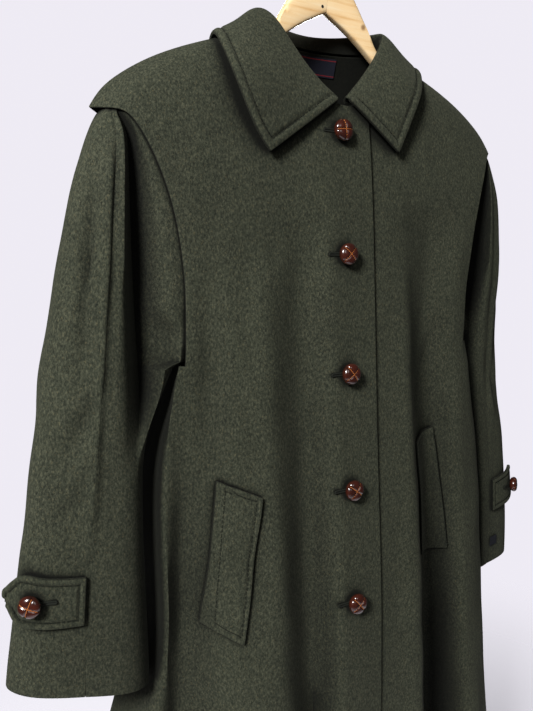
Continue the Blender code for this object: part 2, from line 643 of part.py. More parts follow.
def sleeve_panels(label, side, finish):
    """Front and back of one sleeve, parted at the seam that catches the cuff strap."""
    steps = list(FRONT_STEPS) + list(BACK_STEPS[1:])
    grid = sleeve_grid(side, steps)
    normal = normals_of(grid, (0, 0, 0))
    rows = sleeve_rows(side)
    outer_column = steps.index(7.0)
    if np.dot(normal[len(rows) // 2, outer_column], (side, 0, 0)) < 0:
        normal = -normal
    closed = [r for r, z in enumerate(rows) if z <= SLEEVE_CLOSES]
    normal[closed, 0] = (-side, 0, 0)
    normal[closed, -1] = (-side, 0, 0)
    inner = grid - WALL * normal
    cut = len(FRONT_STEPS) - 1
    made = []
    for part_name, first, last in (("front", 0, cut), ("back", cut, len(steps) - 1)):
        outside = grid[:, first:last + 1].copy()
        inside = inner[:, first:last + 1].copy()
        for layer in (outside, inside):
            shorten(layer, 0, 1)
            shorten(layer, -1, -2)
        cells = np.ones((len(rows) - 1, last - first), bool)
        made.append(wall(f"sleeve_{label}_{part_name}", outside, inside, cells, finish))
    return made


def shorten(grid, edge, beside):
    """Draw one edge column of a grid back by half the seam gap."""
    step = grid[:, beside] - grid[:, edge]
    step /= np.maximum(np.linalg.norm(step, axis=1, keepdims=True), 1e-9)
    grid[:, edge] += step * SEAM / 2


# Collar: a stand that rises from the neckline, rolls over and falls as a leaf

RIGHT_COLLAR = table(
    "neck_x  back  roll_x   roll_y   roll_z   edge_x   edge_y   edge_z  bulge",
    (0.006, 0, 0.0100, -0.0420, -0.0520, 0.1045, -0.0560, -0.1165, 0.0030),
    (0.030, 0, 0.0310, -0.0350, -0.0350, 0.1220, -0.0550, -0.0930, 0.0040),
    (0.060, 0, 0.0530, -0.0255, -0.0080, 0.1385, -0.0510, -0.0550, 0.0050),
    (0.080, 0, 0.0740, -0.0110, 0.0290, 0.1460, -0.0300, -0.0150, 0.0020),
    (0.088, 0, 0.0860, 0.0020, 0.0390, 0.1450, -0.0050, 0.0055, -0.0010),
    (0.076, 1, 0.0790, 0.0180, 0.0390, 0.1300, 0.0320, -0.0080, 0.0000),
    (0.045, 1, 0.0470, 0.0320, 0.0350, 0.0850, 0.0500, -0.0290, 0.0020),
    (0.000, 1, 0.0000, 0.0370, 0.0320, 0.0000, 0.0530, -0.0360, 0.0040),
)
LEFT_COLLAR = table(
    "neck_x  back  roll_x   roll_y   roll_z   edge_x   edge_y   edge_z  bulge",
    (0.004, 0, 0.0010, -0.0420, -0.0500, 0.0700, -0.0560, -0.1040, 0.0030),
    (0.030, 0, 0.0250, -0.0345, -0.0280, 0.0900, -0.0520, -0.0680, 0.0040),
    (0.060, 0, 0.0500, -0.0265, -0.0010, 0.1100, -0.0450, -0.0340, 0.0050),
    (0.080, 0, 0.0710, -0.0150, 0.0250, 0.1290, -0.0250, -0.0120, 0.0010),
    (0.088, 0, 0.0850, 0.0000, 0.0405, 0.1400, -0.0040, 0.0060, -0.0010),
    (0.076, 1, 0.0810, 0.0160, 0.0420, 0.1290, 0.0320, -0.0080, 0.0000),
    (0.045, 1, 0.0480, 0.0320, 0.0370, 0.0850, 0.0500, -0.0290, 0.0040),
    (0.000, 1, 0.0000, 0.0370, 0.0320, 0.0000, 0.0530, -0.0360, 0.0040),
)
COLLAR_STEPS = (0.0, 0.5, 1.0, 1.5, 2.0, 2.5, 3.0, 3.5, 4.0, 4.5, 5.0)
STAND_GAP = 0.0022         # between the neck edge and the stand, along the cloth
COLLAR_OVAL = 0.35         # the neck is an oval, wider across than from front to back
ROLL_HALF = 0.0042         # the leaf stands this far out of the roll
ROLL_REACH = 0.0090        # length of cloth that bends on each side of the roll


def neck_point(x, back):
    """Point on the neckline, in the middle of the cloth's wall."""
    z = neckline_height(x, back)
    if x >= NECK_HALF - 1e-6:
        return np.array([NECK_HALF, 0.0, z])
    y = body_depth(1, back, x, z)
    return np.array([x, y + (-1 if back else 1) * WALL / 2, z])


def collar_section(rows, row):
    """Middle line of the collar at one place, from the neck seam to the leaf's edge."""
    value = {name: rows[name][row] for name in rows}
    neck_x, back = value["neck_x"], value["back"] > 0.5
    neck = neck_point(neck_x, back)
    rise = neckline_height(neck_x + 0.002, back) - neckline_height(neck_x - 0.002, back)
    neck[2] += STAND_GAP * math.hypot(1.0, rise / 0.004)
    roll = np.array([value["roll_x"], value["roll_y"], value["roll_z"]])
    edge = np.array([value["edge_x"], value["edge_y"], value["edge_z"]])
    fall = edge - roll
    out = np.array([COLLAR_OVAL * roll[0], roll[1], 0.0])
    out /= np.linalg.norm(out)
    down_leaf = fall / np.linalg.norm(fall)
    down_stand = neck - roll
    stand = np.linalg.norm(down_stand)
    down_stand = down_stand / stand
    bulge = out - np.dot(out, down_leaf) * down_leaf
    bulge /= np.linalg.norm(bulge)
    reach = min(ROLL_REACH, 0.45 * stand)
    return np.array([
        neck,
        roll + down_stand * reach - out * 0.5 * ROLL_HALF,
        roll,
        roll + down_leaf * ROLL_REACH + out * ROLL_HALF,
        roll + fall * 0.55 + bulge * value["bulge"],
        edge,
    ])


def collar(name, finish):
    count = len(RIGHT_COLLAR["neck_x"])
    right = [collar_section(RIGHT_COLLAR, i) * np.array([-1, 1, 1]) for i in range(count)]
    left = [collar_section(LEFT_COLLAR, i) for i in range(count)]
    rows = right[:-1] + left[::-1]
    stations = np.array(rows)
    lengthwise = []
    for i in range(2 * (len(rows) - 1) + 1):
        lengthwise.append([through(stations[:, k], i / 2) for k in range(6)])
    middle = np.array([[through(row, w) for w in COLLAR_STEPS] for row in lengthwise])
    normal = normals_of(middle, (0, 0, 0))
    leaf = COLLAR_STEPS.index(4.0)
    if normal[len(lengthwise) // 2, leaf][1] < 0:
        normal = -normal
    normal[:, 0] = flatten(normal[:, 0], 2)
    half = COLLAR_WALL / 2
    cells = np.ones((middle.shape[0] - 1, middle.shape[1] - 1), bool)
    return wall(name, middle + half * normal, middle - half * normal, cells, finish)


# Pieces that lie on the panels

RIGHT_POCKET = table(
    "inner_x  inner_z   outer_x  outer_z",
    (0.1235, -0.4800, 0.1700, -0.4580),
    (0.1490, -0.6410, 0.1885, -0.6170),
)
LEFT_POCKET = table(
    "inner_x  inner_z   outer_x  outer_z",
    (0.1080, -0.4560, 0.1560, -0.4460),
    (0.1370, -0.6180, 0.1820, -0.6180),
)
POCKET_WALL = 0.0040
POCKET_LIP = 0.0025        # how far the open outer edge stands off the front


def pocket_welt(name, side, finish):
    across, along = np.linspace(0, 1, 5), np.linspace(0, 1, 9)
    outer = np.empty((len(along), len(across), 3))
    inner = np.empty_like(outer)
    rows = LEFT_POCKET if side > 0 else RIGHT_POCKET
    for r, t in enumerate(along):
        ends = {c: rows[c][0] + (rows[c][1] - rows[c][0]) * t for c in rows}
        for c, u in enumerate(across):
            x = ends["inner_x"] + (ends["outer_x"] - ends["inner_x"]) * u
            z = ends["inner_z"] + (ends["outer_z"] - ends["inner_z"]) * u
            y = body_depth(side, False, x, z) - 2 * SEAM
            lip = POCKET_LIP * ramp(u, 0.4, 1.0) * math.sin(math.pi * (0.12 + 0.76 * t))
            inner[r, c] = (side * x, y - lip, z)
            outer[r, c] = (side * x, y - lip - POCKET_WALL, z)
    cells = np.ones((len(along) - 1, len(across) - 1), bool)
    return wall(name, outer, inner, cells, finish)


STRAP = table(
    "step  half  lift    rise",
    (5.06, 0.0240, 0.0006, 0.000),
    (5.35, 0.0242, 0.0008, 0.001),
    (5.70, 0.0245, 0.0010, 0.003),
    (6.00, 0.0247, 0.0016, 0.005),
    (6.25, 0.0250, 0.0030, 0.007),
    (6.50, 0.0235, 0.0050, 0.009),
    (6.72, 0.0130, 0.0070, 0.011),
    (6.92, 0.0015, 0.0090, 0.012),
)
STRAP_Z = -0.558
LEFT_DROP = 0.022          # the left sleeve's strap and tab lie this much lower
STRAP_WALL = 0.0040
STRAP_ACROSS = (-1.0, -0.5, 0.0, 0.5, 1.0)
CUFF_BUTTON_STEP = 6.12
TAB_HEIGHTS = (-0.662, -0.655, -0.648)
TAB_STEPS = (5.05, 5.22, 5.4)
TAB_WALL = 0.0009


def sleeve_frame(side, w, z):
    """Point and outward normal on a sleeve's outer face."""
    here = through(sleeve_ring(side, z), w)
    ahead = through(sleeve_ring(side, z), w + 0.02)
    below = through(sleeve_ring(side, z - 0.01), w)
    along = np.array([side * (ahead[0] - here[0]), ahead[1] - here[1], 0.0])
    down = np.array([side * (below[0] - here[0]), below[1] - here[1], -0.01])
    normal = np.cross(along, down)
    if normal[0] * side < 0 and abs(normal[0]) > abs(normal[1]):
        normal = -normal
    elif abs(normal[1]) >= abs(normal[0]) and normal[1] > 0:
        normal = -normal
    normal /= np.linalg.norm(normal)
    return np.array([side * here[0], here[1], z]), normal


def strap_height(side):
    return STRAP_Z - (LEFT_DROP if side > 0 else 0.0)


def cuff_strap(name, side, finish):
    count = 2 * (len(STRAP["step"]) - 1) + 1
    outer = np.empty((count, len(STRAP_ACROSS), 3))
    inner = np.empty_like(outer)
    for r in range(count):
        place = r / 2
        i = min(int(place), len(STRAP["step"]) - 2)
        t = place - i
        step, half, lift, rise = (STRAP[c][i] + (STRAP[c][i + 1] - STRAP[c][i]) * t
                                  for c in ("step", "half", "lift", "rise"))
        for c, u in enumerate(STRAP_ACROSS):
            z = strap_height(side) + rise + u * half
            point, normal = sleeve_frame(side, step, z)
            inner[r, c] = point + normal * lift
            outer[r, c] = point + normal * (lift + STRAP_WALL)
    cells = np.ones((count - 1, len(STRAP_ACROSS) - 1), bool)
    return wall(name, outer, inner, cells, finish)


def cuff_tab(name, side, finish):
    """Small woven tab in the seam of the left sleeve, near its hem."""
    outer = np.empty((3, 3, 3))
    inner = np.empty_like(outer)
    for r, z in enumerate(TAB_HEIGHTS):
        for c, w in enumerate(TAB_STEPS):
            point, normal = sleeve_frame(side, w, z)
            inner[r, c] = point + normal * 2 * SEAM
            outer[r, c] = point + normal * (2 * SEAM + TAB_WALL)
    return wall(name, outer, inner, np.ones((2, 2), bool), finish)


LABEL_HALF = 0.037
LABEL_TOP, LABEL_LOW = 0.0105, -0.0105
LABEL_WALL = 0.0008


def neck_label(name, finish):
    """Woven strip on the inside of the back, just below the neck seam."""
    xs = np.linspace(-LABEL_HALF, LABEL_HALF, 9)
    zs = (LABEL_LOW, 0.0, LABEL_TOP)
    outer = np.empty((len(zs), len(xs), 3))
    inner = np.empty_like(outer)
    for r, z in enumerate(zs):
        for c, x in enumerate(xs):
            y = body_depth(1 if x >= 0 else -1, True, abs(x), z) - WALL - 0.0007
            inner[r, c] = (x, y, z)
            outer[r, c] = (x, y - LABEL_WALL, z)
    return wall(name, outer, inner, np.ones((len(zs) - 1, len(xs) - 1), bool), finish)


# Buttons

BUTTON_PROFILE = table(
    "radius  height",
    (0.30, 0.0000),
    (0.80, 0.0700),
    (1.00, 0.2000),
    (0.96, 0.3300),
    (0.72, 0.4300),
    (0.38, 0.4800),
)
BUTTON_SIDES = 16


def button(name, diameter, place, normal, finish):
    """Domed leather button: rings around its own axis, closed by a point at each end."""
    axis = Vector(normal).normalized()
    turn = Vector((0, 0, 1)).rotation_difference(axis)
    base = Vector(place)
    radius = diameter / 2
    points = [base.copy()]
    for share, height in zip(BUTTON_PROFILE["radius"], BUTTON_PROFILE["height"]):
        for k in range(BUTTON_SIDES):
            angle = 2 * math.pi * k / BUTTON_SIDES
            spoke = Vector((math.cos(angle), math.sin(angle), 0)) * radius * share
            points.append(base + turn @ (spoke + Vector((0, 0, height * diameter))))
    points.append(base + axis * 0.49 * diameter)
    rings = len(BUTTON_PROFILE["radius"])
    faces = []
    for k in range(BUTTON_SIDES):
        after = (k + 1) % BUTTON_SIDES
        faces.append((0, 1 + after, 1 + k))
        for ring in range(rings - 1):
            low, high = 1 + ring * BUTTON_SIDES, 1 + (ring + 1) * BUTTON_SIDES
            faces.append((low + k, low + after, high + after, high + k))
        top = 1 + (rings - 1) * BUTTON_SIDES
        faces.append((top + k, top + after, len(points) - 1))
    made = add_object(name, points, faces, finish, 60)
    turn_outwards(made)
    return made


def front_buttons(finish):
    for i in range(BUTTON_COUNT):
        z = FIRST_BUTTON - i * BUTTON_SPACING
        here = body_point(-1, False, 0.0, z)
        above = body_point(-1, False, 0.0, z + 0.01)
        slope = above - here
        normal = np.array([0.0, -slope[2], slope[1]])
        normal /= np.linalg.norm(normal)
        here[0] = BUTTON_X
        here[1] -= LAP_LIFT
        button(f"button_front_{i + 1}", BUTTON_DIAMETER, here + normal * 2 * SEAM, normal, finish)


def cuff_button(name, side, finish):
    lift, rise = (float(np.interp(CUFF_BUTTON_STEP, STRAP["step"], STRAP[c]))
                  for c in ("lift", "rise"))
    point, normal = sleeve_frame(side, CUFF_BUTTON_STEP, strap_height(side) + rise)
    lift += STRAP_WALL
    return button(name, CUFF_BUTTON_DIAMETER, point + normal * (lift + 3 * SEAM), normal, finish)


# Hanger

ARM = table(
    "x       top      low      middle_y",
    (0.0000, 0.0980, 0.0490, 0.0020),
    (0.0200, 0.0900, 0.0395, 0.0020),
    (0.0400, 0.0700, 0.0280, 0.0015),
    (0.0600, 0.0400, 0.0140, 0.0010),
    (0.0800, 0.0130, -0.0010, 0.0000),
    (0.0950, 0.0068, -0.0090, 0.0000),
    (0.1150, 0.0049, -0.0190, 0.0000),
    (0.1460, -0.0051, -0.0340, 0.0000),
    (0.1800, -0.0176, -0.0480, 0.0000),
    (0.2100, -0.0325, -0.0590, 0.0000),
    (0.2250, -0.0450, -0.0640, 0.0000),
    (0.2330, -0.0540, -0.0640, 0.0000),
)
ARM_HALF = 0.0060
ARM_SEAT = 0.0056          # the coat hangs on the arm: its wall and the roundness above it
ARM_BEVEL = 0.0020
WIRE = 0.0040
HOOK_RADIUS = 0.0220
HOOK_STARTS = -58            # degrees, where the wire leaves its shank
HOOK_STEP = 18              # degrees from point to point
HOOK_POINTS = 15


def hanger_arm(name, side, finish):
    """One wooden arm: a flat board with softened edges, from the mitre to its end."""
    xs = np.concatenate([ARM["x"], 0.5 * (ARM["x"][1:] + ARM["x"][:-1])])
    xs = np.sort(xs)
    points, faces = [], []
    for x in xs:
        top, low, y = (smooth(ARM["x"], ARM[c], x) for c in ("top", "low", "middle_y"))
        if x > NECK_HALF:
            slope = (shoulder_height(x + 0.002) - shoulder_height(x - 0.002)) / 0.004
            top = min(top, shoulder_height(x) - ARM_SEAT * math.hypot(1.0, slope))
        place = side * (x if x > 0 else SEAM / 2)
        b = ARM_BEVEL
        ring = [(-ARM_HALF, low + b), (-ARM_HALF, top - b), (-ARM_HALF + b, top),
                (ARM_HALF - b, top), (ARM_HALF, top - b), (ARM_HALF, low + b),
                (ARM_HALF - b, low), (-ARM_HALF + b, low)]
        points += [(place, y + dy, z) for dy, z in ring]
    for i in range(len(xs) - 1):
        for k in range(8):
            a, b = i * 8 + k, i * 8 + (k + 1) % 8
            faces.append((a, b, b + 8, a + 8))
    faces.append(tuple(reversed(range(8))))
    faces.append(tuple(range(len(points) - 8, len(points))))
    made = add_object(name, points, faces, finish, 30)
    turn_outwards(made)
    return made


def hanger_hook(name, finish):
    """Steel wire hook over the mitre, its inner top at the origin."""
    centre = -HOOK_RADIUS + WIRE / 2
    foot = ARM["top"][0] - NECK_DROP + SEAM
    path = [(0.0, foot), (0.0, foot + 0.004), (0.003, centre - HOOK_RADIUS + 0.0005)]
    for k in range(HOOK_POINTS):
        angle = math.radians(HOOK_STARTS + HOOK_STEP * k)
        path.append((HOOK_RADIUS * math.cos(angle), centre + HOOK_RADIUS * math.sin(angle)))
    curve = bpy.data.curves.new(name, "CURVE")
    curve.dimensions = "3D"
    curve.bevel_depth = WIRE / 2
    curve.bevel_resolution = 2
    curve.use_fill_caps = True
    spline = curve.splines.new("POLY")
    spline.points.add(len(path) - 1)
    for point, (x, z) in zip(spline.points, path):
        point.co = (x, ARM["middle_y"][0], z, 1.0)
    curve.materials.append(finish)
    made = bpy.data.objects.new(name, curve)
    bpy.context.scene.collection.objects.link(made)
    return made


def main():
    for old in list(bpy.data.objects):
        bpy.data.objects.remove(old, do_unlink=True)
    loden = material("loden", (0.040, 0.050, 0.030), 0.95)
    leather = material("button leather", (0.13, 0.03, 0.014), 0.28)
    woven = material("woven label", (0.012, 0.012, 0.016), 0.8)
    wood = material("varnished wood", (0.80, 0.56, 0.27), 0.35)
    steel = material("hook steel", (0.62, 0.62, 0.62), 0.25, 1.0)

    back_panel("back", loden)
    front_panel("front_right", -1, loden)
    front_panel("front_left", 1, loden)
    sleeve_panels("right", -1, loden)
    sleeve_panels("left", 1, loden)
    collar("collar", loden)
    for label, side in (("right", -1), ("left", 1)):
        pocket_welt(f"pocket_welt_{label}", side, loden)
        cuff_strap(f"cuff_strap_{label}", side, loden)
        cuff_button(f"button_cuff_{label}", side, leather)
        hanger_arm(f"hanger_arm_{label}", side, wood)
    front_buttons(leather)
    cuff_tab("cuff_tab", 1, woven)
    neck_label("neck_label", woven)
    hanger_hook("hanger_hook", steel)


main()
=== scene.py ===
# %% [markdown]
# A loden coat on its wooden hanger
#
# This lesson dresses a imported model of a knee-length coat. The model gives every piece its
# true place and size. The steps below give each piece its soft form and its finish: felted
# wool with folds and sewn edges, quartered leather buttons, varnished wood and bright wire.

# %% Load the frame
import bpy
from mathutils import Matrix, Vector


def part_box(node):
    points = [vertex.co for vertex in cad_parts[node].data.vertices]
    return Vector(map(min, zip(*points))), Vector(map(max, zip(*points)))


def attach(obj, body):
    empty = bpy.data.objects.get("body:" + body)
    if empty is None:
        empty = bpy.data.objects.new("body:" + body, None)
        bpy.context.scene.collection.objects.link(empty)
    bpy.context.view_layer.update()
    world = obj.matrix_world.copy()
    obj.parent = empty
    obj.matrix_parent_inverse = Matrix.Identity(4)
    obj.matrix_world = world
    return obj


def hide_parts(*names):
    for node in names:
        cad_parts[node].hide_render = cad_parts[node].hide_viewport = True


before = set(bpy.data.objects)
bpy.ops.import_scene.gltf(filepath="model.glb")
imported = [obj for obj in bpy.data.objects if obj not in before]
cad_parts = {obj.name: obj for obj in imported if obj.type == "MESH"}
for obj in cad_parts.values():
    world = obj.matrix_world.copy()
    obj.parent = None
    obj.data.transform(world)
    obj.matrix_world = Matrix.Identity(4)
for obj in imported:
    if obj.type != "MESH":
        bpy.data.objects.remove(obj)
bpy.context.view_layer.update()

# %% Modules
from math import cos, pi, radians, sin

import bpy
import numpy as np
from mathutils import Matrix, Vector
from mathutils.bvhtree import BVHTree
from mathutils.kdtree import KDTree

# %% [markdown]
# The camera stands close, to the left of the coat and a little above its middle, which is
# how a shop shows the collar and the chest. It comes first, so that every later step can be
# looked at. Its place and turn were worked out once from the row of buttons, the shoulder
# line and the cuffs.

# %% Camera
CAMERA_TURN = radians(-31.284)
CAMERA_RISE = radians(9.622)
CAMERA_ROLL = radians(0.747)
CAMERA_PLACE = (-0.466, -0.648, -0.362)
SENSOR = 36.0
LENS_PIXELS = 650
PHOTO_HEIGHT = 711

backwards = Vector((sin(CAMERA_TURN) * cos(CAMERA_RISE), -cos(CAMERA_TURN) * cos(CAMERA_RISE),
                    sin(CAMERA_RISE)))
level = (-backwards).cross(Vector((0, 0, 1))).normalized()
upright = level.cross(-backwards)
right = cos(CAMERA_ROLL) * level + sin(CAMERA_ROLL) * upright
up = -sin(CAMERA_ROLL) * level + cos(CAMERA_ROLL) * upright
bpy.ops.object.select_all(action="DESELECT")
bpy.ops.object.camera_add()
camera = bpy.context.object
camera_turn = Matrix((right, up, backwards)).transposed().to_4x4()
camera.matrix_world = Matrix.Translation(CAMERA_PLACE) @ camera_turn
camera.data.sensor_width = SENSOR
camera.data.lens = LENS_PIXELS / PHOTO_HEIGHT * SENSOR
bpy.context.scene.camera = camera
print("camera lens", round(camera.data.lens, 2), "mm")

# %% [markdown]
# The main lamp stands high on the left and a little in front, so that every fold turns from
# light to dark across its width. A weak lamp in front and a faint fill from all round keep
# the shadows from going black, and a lamp behind lights the back. The camera sees a pale
# backdrop, which is brighter than that fill. The floor lies under the hem and fades out at
# its rim, so that no horizon cuts the picture behind the coat.

# %% Helpers for node trees
def new_material(name):
    """Empty node material with its Principled shader."""
    made = bpy.data.materials.new(name)
    made.use_nodes = True
    return made, made.node_tree.nodes["Principled BSDF"]


def node(material, kind, **settings):
    """Node with its settings. A setting that is a number or a tuple may name an input."""
    made = material.node_tree.nodes.new(kind)
    for name, value in settings.items():
        title = name.replace("_", " ")
        if title in made.inputs:
            made.inputs[title].default_value = value
        else:
            setattr(made, name, value)
    return made


def set_inputs(target, **values):
    """Sets a node's inputs. An underscore stands for a space in an input's name."""
    for name, value in values.items():
        target.inputs[name.replace("_", " ")].default_value = value


def link(material, source, target):
    material.node_tree.links.new(source, target)


def ramp_node(material, stops):
    """Colour ramp from a list of places and colours."""
    made = node(material, "ShaderNodeValToRGB")
    while len(made.color_ramp.elements) < len(stops):
        made.color_ramp.elements.new(0.5)
    for element, (place, colour) in zip(made.color_ramp.elements, stops):
        element.position = place
        element.color = (*colour, 1.0)
    return made


def stretched(material, scale=(1.0, 1.0, 1.0), turn=(0.0, 0.0, 0.0)):
    """Object coordinates, turned and scaled."""
    place = node(material, "ShaderNodeTexCoord")
    mapping = node(material, "ShaderNodeMapping")
    set_inputs(mapping, Scale=scale, Rotation=turn)
    link(material, place.outputs["Object"], mapping.inputs["Vector"])
    return mapping.outputs["Vector"]


def noise(material, vector, scale, detail=2.0, roughness=0.5):
    made = node(material, "ShaderNodeTexNoise", Scale=scale, Detail=detail, Roughness=roughness)
    link(material, vector, made.inputs["Vector"])
    return made.outputs["Fac"]


def mixed(material, share, first, second, blend="MIX"):
    """Mix of two colours. A colour is an output or plain, and share an output or a number."""
    made = node(material, "ShaderNodeMix", data_type="RGBA", blend_type=blend)
    for value, number in ((share, 0), (first, 6), (second, 7)):
        if isinstance(value, (int, float)):
            made.inputs[number].default_value = value
        elif isinstance(value, tuple):
            made.inputs[number].default_value = (*value, 1.0)
        else:
            link(material, value, made.inputs[number])
    return made.outputs[2]


def bump(material, shader, height, distance, strength=1.0):
    made = node(material, "ShaderNodeBump", Strength=strength, Distance=distance)
    link(material, height, made.inputs["Height"])
    link(material, made.outputs["Normal"], shader.inputs["Normal"])


# %% Floor
FLOOR_LEVEL = -1.47
FLOOR_RADIUS = 6.0
FLOOR_FADE = (0.45, 1.5)   # distances from the middle between which the floor fades out
FLOOR_COLOUR = (0.78, 0.765, 0.82)

bpy.ops.object.select_all(action="DESELECT")
bpy.ops.mesh.primitive_circle_add(vertices=96, radius=FLOOR_RADIUS, fill_type="NGON")
floor = bpy.context.object
floor.name = "floor"
floor.location = (0.0, 0.0, FLOOR_LEVEL)
floor_finish, floor_shader = new_material("pale_floor")
set_inputs(floor_shader, Base_Color=(*FLOOR_COLOUR, 1.0), Roughness=0.9)
rim_distance = node(floor_finish, "ShaderNodeVectorMath", operation="LENGTH")
link(floor_finish, stretched(floor_finish), rim_distance.inputs[0])
fade = node(floor_finish, "ShaderNodeMapRange", interpolation_type="SMOOTHSTEP",
            From_Min=FLOOR_FADE[0], From_Max=FLOOR_FADE[1], To_Min=1.0, To_Max=0.0)
link(floor_finish, rim_distance.outputs["Value"], fade.inputs["Value"])
link(floor_finish, fade.outputs["Result"], floor_shader.inputs["Alpha"])
floor.data.materials.append(floor_finish)

# %% World and lamps
WORLD_COLOUR = (0.858, 0.832, 0.905)
FILL_STRENGTH = 0.06
AIM = Vector((0.0, 0.0, -0.50))
# name: place, size, watts
LAMPS = {
    "key": ((-2.3, -1.35, 1.10), 0.7, 160.0),
    "front": ((-0.5, -2.5, 0.9), 1.2, 9.0),
    "rear": ((1.4, 2.3, 0.7), 1.2, 70.0),
}

world = bpy.data.worlds.new("studio")
world.use_nodes = True
backdrop = world.node_tree.nodes["Background"]
set_inputs(backdrop, Color=(*WORLD_COLOUR, 1.0))
fill = node(world, "ShaderNodeBackground", Color=(*WORLD_COLOUR, 1.0), Strength=FILL_STRENGTH)
seen = node(world, "ShaderNodeLightPath")
choice = node(world, "ShaderNodeMixShader")
link(world, seen.outputs["Is Camera Ray"], choice.inputs[0])
link(world, fill.outputs["Background"], choice.inputs[1])
link(world, backdrop.outputs["Background"], choice.inputs[2])
link(world, choice.outputs["Shader"], world.node_tree.nodes["World Output"].inputs["Surface"])
bpy.context.scene.world = world
bpy.context.scene.view_settings.view_transform = "Standard"
bpy.context.scene.view_settings.look = "None"

for label, (place, size, energy) in LAMPS.items():
    bpy.ops.object.light_add(type="AREA", location=place)
    lamp = bpy.context.object
    lamp.name = label + "_lamp"
    lamp.data.size = size
    lamp.data.energy = energy
    lamp.rotation_euler = (AIM - Vector(place)).to_track_quat("-Z", "Y").to_euler()
    print("lamp", label, energy, "W")

# %% [markdown]
# Loden is woven wool that is washed until it felts, then brushed downwards and cropped. Its
# yarn is spun from fibres of several dyes, so the cloth is a melange: dark green with olive,
# black and straw-coloured flecks of one to three millimetres, longer down the nap. One noise
# gives the mottled ground, two more scatter the flecks and a wide one makes it cloudy. They
# read object coordinates, because every piece is cut from the same bolt and the nap always
# runs down. An ambient occlusion node paints shade into the colour where other cloth lies
# close to it, so the folds are darker.

# %% Loden
LODEN_DARK = (0.0135, 0.0155, 0.0105)
LODEN_GROUND = (0.0330, 0.0370, 0.0240)
LODEN_LIGHT = (0.0760, 0.0780, 0.0500)
FLECK_STRAW = (0.105, 0.092, 0.048)
FLECK_BLACK = (0.006, 0.008, 0.006)
NAP = (1.0, 1.0, 0.60)
GROUND_SCALE, STRAW_SCALE, BLACK_SCALE = 480.0, 700.0, 620.0
CLOUD_SCALE, PILE_SCALE = 14.0, 900.0
# painted shade in the folds: how far the occlusion looks, and the colour it darkens to
PAINTED_SHADE_REACH = 0.18          # how far off other cloth still keeps light from the pile
PAINTED_FOLD_SHADE = (0.05, 0.05, 0.05)


def wool(name):
    """Felted melange wool, with shade painted into its colour in its folds."""
    made, shader = new_material(name)
    down = stretched(made, NAP)
    ground = ramp_node(made, [(0.34, LODEN_DARK), (0.50, LODEN_GROUND), (0.68, LODEN_LIGHT)])
    link(made, noise(made, down, GROUND_SCALE, 5.0, 0.72), ground.inputs["Fac"])
    straw = ramp_node(made, [(0.60, (0, 0, 0)), (0.70, (0.55, 0.55, 0.55))])
    link(made, noise(made, down, STRAW_SCALE, 2.0, 0.6), straw.inputs["Fac"])
    black = ramp_node(made, [(0.58, (0, 0, 0)), (0.68, (0.6, 0.6, 0.6))])
    link(made, noise(made, down, BLACK_SCALE, 2.0, 0.6), black.inputs["Fac"])
    flecked = mixed(made, straw.outputs["Color"], ground.outputs["Color"], FLECK_STRAW)
    flecked = mixed(made, black.outputs["Color"], flecked, FLECK_BLACK)
    cloudy = ramp_node(made, [(0.35, (0.86, 0.86, 0.86)), (0.65, (1.0, 1.0, 1.0))])
    link(made, noise(made, down, CLOUD_SCALE, 3.0), cloudy.inputs["Fac"])
    clouded = mixed(made, 1.0, flecked, cloudy.outputs["Color"], "MULTIPLY")
    # painted shade: ambient occlusion darkens the colour where other cloth lies close, in folds
    open_share = node(made, "ShaderNodeAmbientOcclusion", samples=12, Distance=PAINTED_SHADE_REACH)
    depth = ramp_node(made, [(0.62, PAINTED_FOLD_SHADE), (0.96, (1.0, 1.0, 1.0))])
    link(made, open_share.outputs["AO"], depth.inputs["Fac"])
    link(made, mixed(made, 1.0, clouded, depth.outputs["Color"], "MULTIPLY"),
         shader.inputs["Base Color"])
    set_inputs(shader, Roughness=0.95, Specular_IOR_Level=0.15, Sheen_Weight=0.06,
               Sheen_Roughness=0.55, Sheen_Tint=(0.55, 0.58, 0.42, 1.0))
    bump(made, shader, noise(made, down, PILE_SCALE, 4.0, 0.7), 0.0006, 0.75)
    return made


loden = wool("loden")
print("material", loden.name)

# %% [markdown]
# Each panel of the coat starts from its solid. The solid's mesh is loose triangles, so a
# copy is merged and its triangles are joined to quads. The raw edge of thick wool is round,
# so the sharp edges round the wall get a narrow bevel before Subdivision Surface makes the
# panel smooth. A bevel keeps the seams tight, where plain subdivision would draw them apart.

# %% Helpers for pieces
MERGE = 0.00001
SHARP = radians(62)
SMOOTH_UNDER = radians(50)


def only(piece):
    """Leaves one object selected and active."""
    bpy.ops.object.select_all(action="DESELECT")
    piece.select_set(True)
    bpy.context.view_layer.objects.active = piece


def apply_modifiers(piece):
    only(piece)
    for modifier in list(piece.modifiers):
        bpy.ops.object.modifier_apply(modifier=modifier.name)


def subdivide_smooth(piece, levels):
    modifier = piece.modifiers.new("Subdivision", "SUBSURF")
    modifier.levels = levels
    modifier.render_levels = levels
    apply_modifiers(piece)


def points_of(piece):
    places = np.empty(len(piece.data.vertices) * 3)
    piece.data.vertices.foreach_get("co", places)
    return places.reshape(-1, 3)


def normals_of(piece):
    places = np.empty(len(piece.data.vertices) * 3)
    piece.data.vertices.foreach_get("normal", places)
    return places.reshape(-1, 3)


def put_points(piece, places):
    piece.data.vertices.foreach_set("co", np.asarray(places, float).ravel())
    piece.data.update()


def half_surface(piece):
    """Area of one side of a thin wall."""
    return sum(face.area for face in piece.data.polygons) / 2


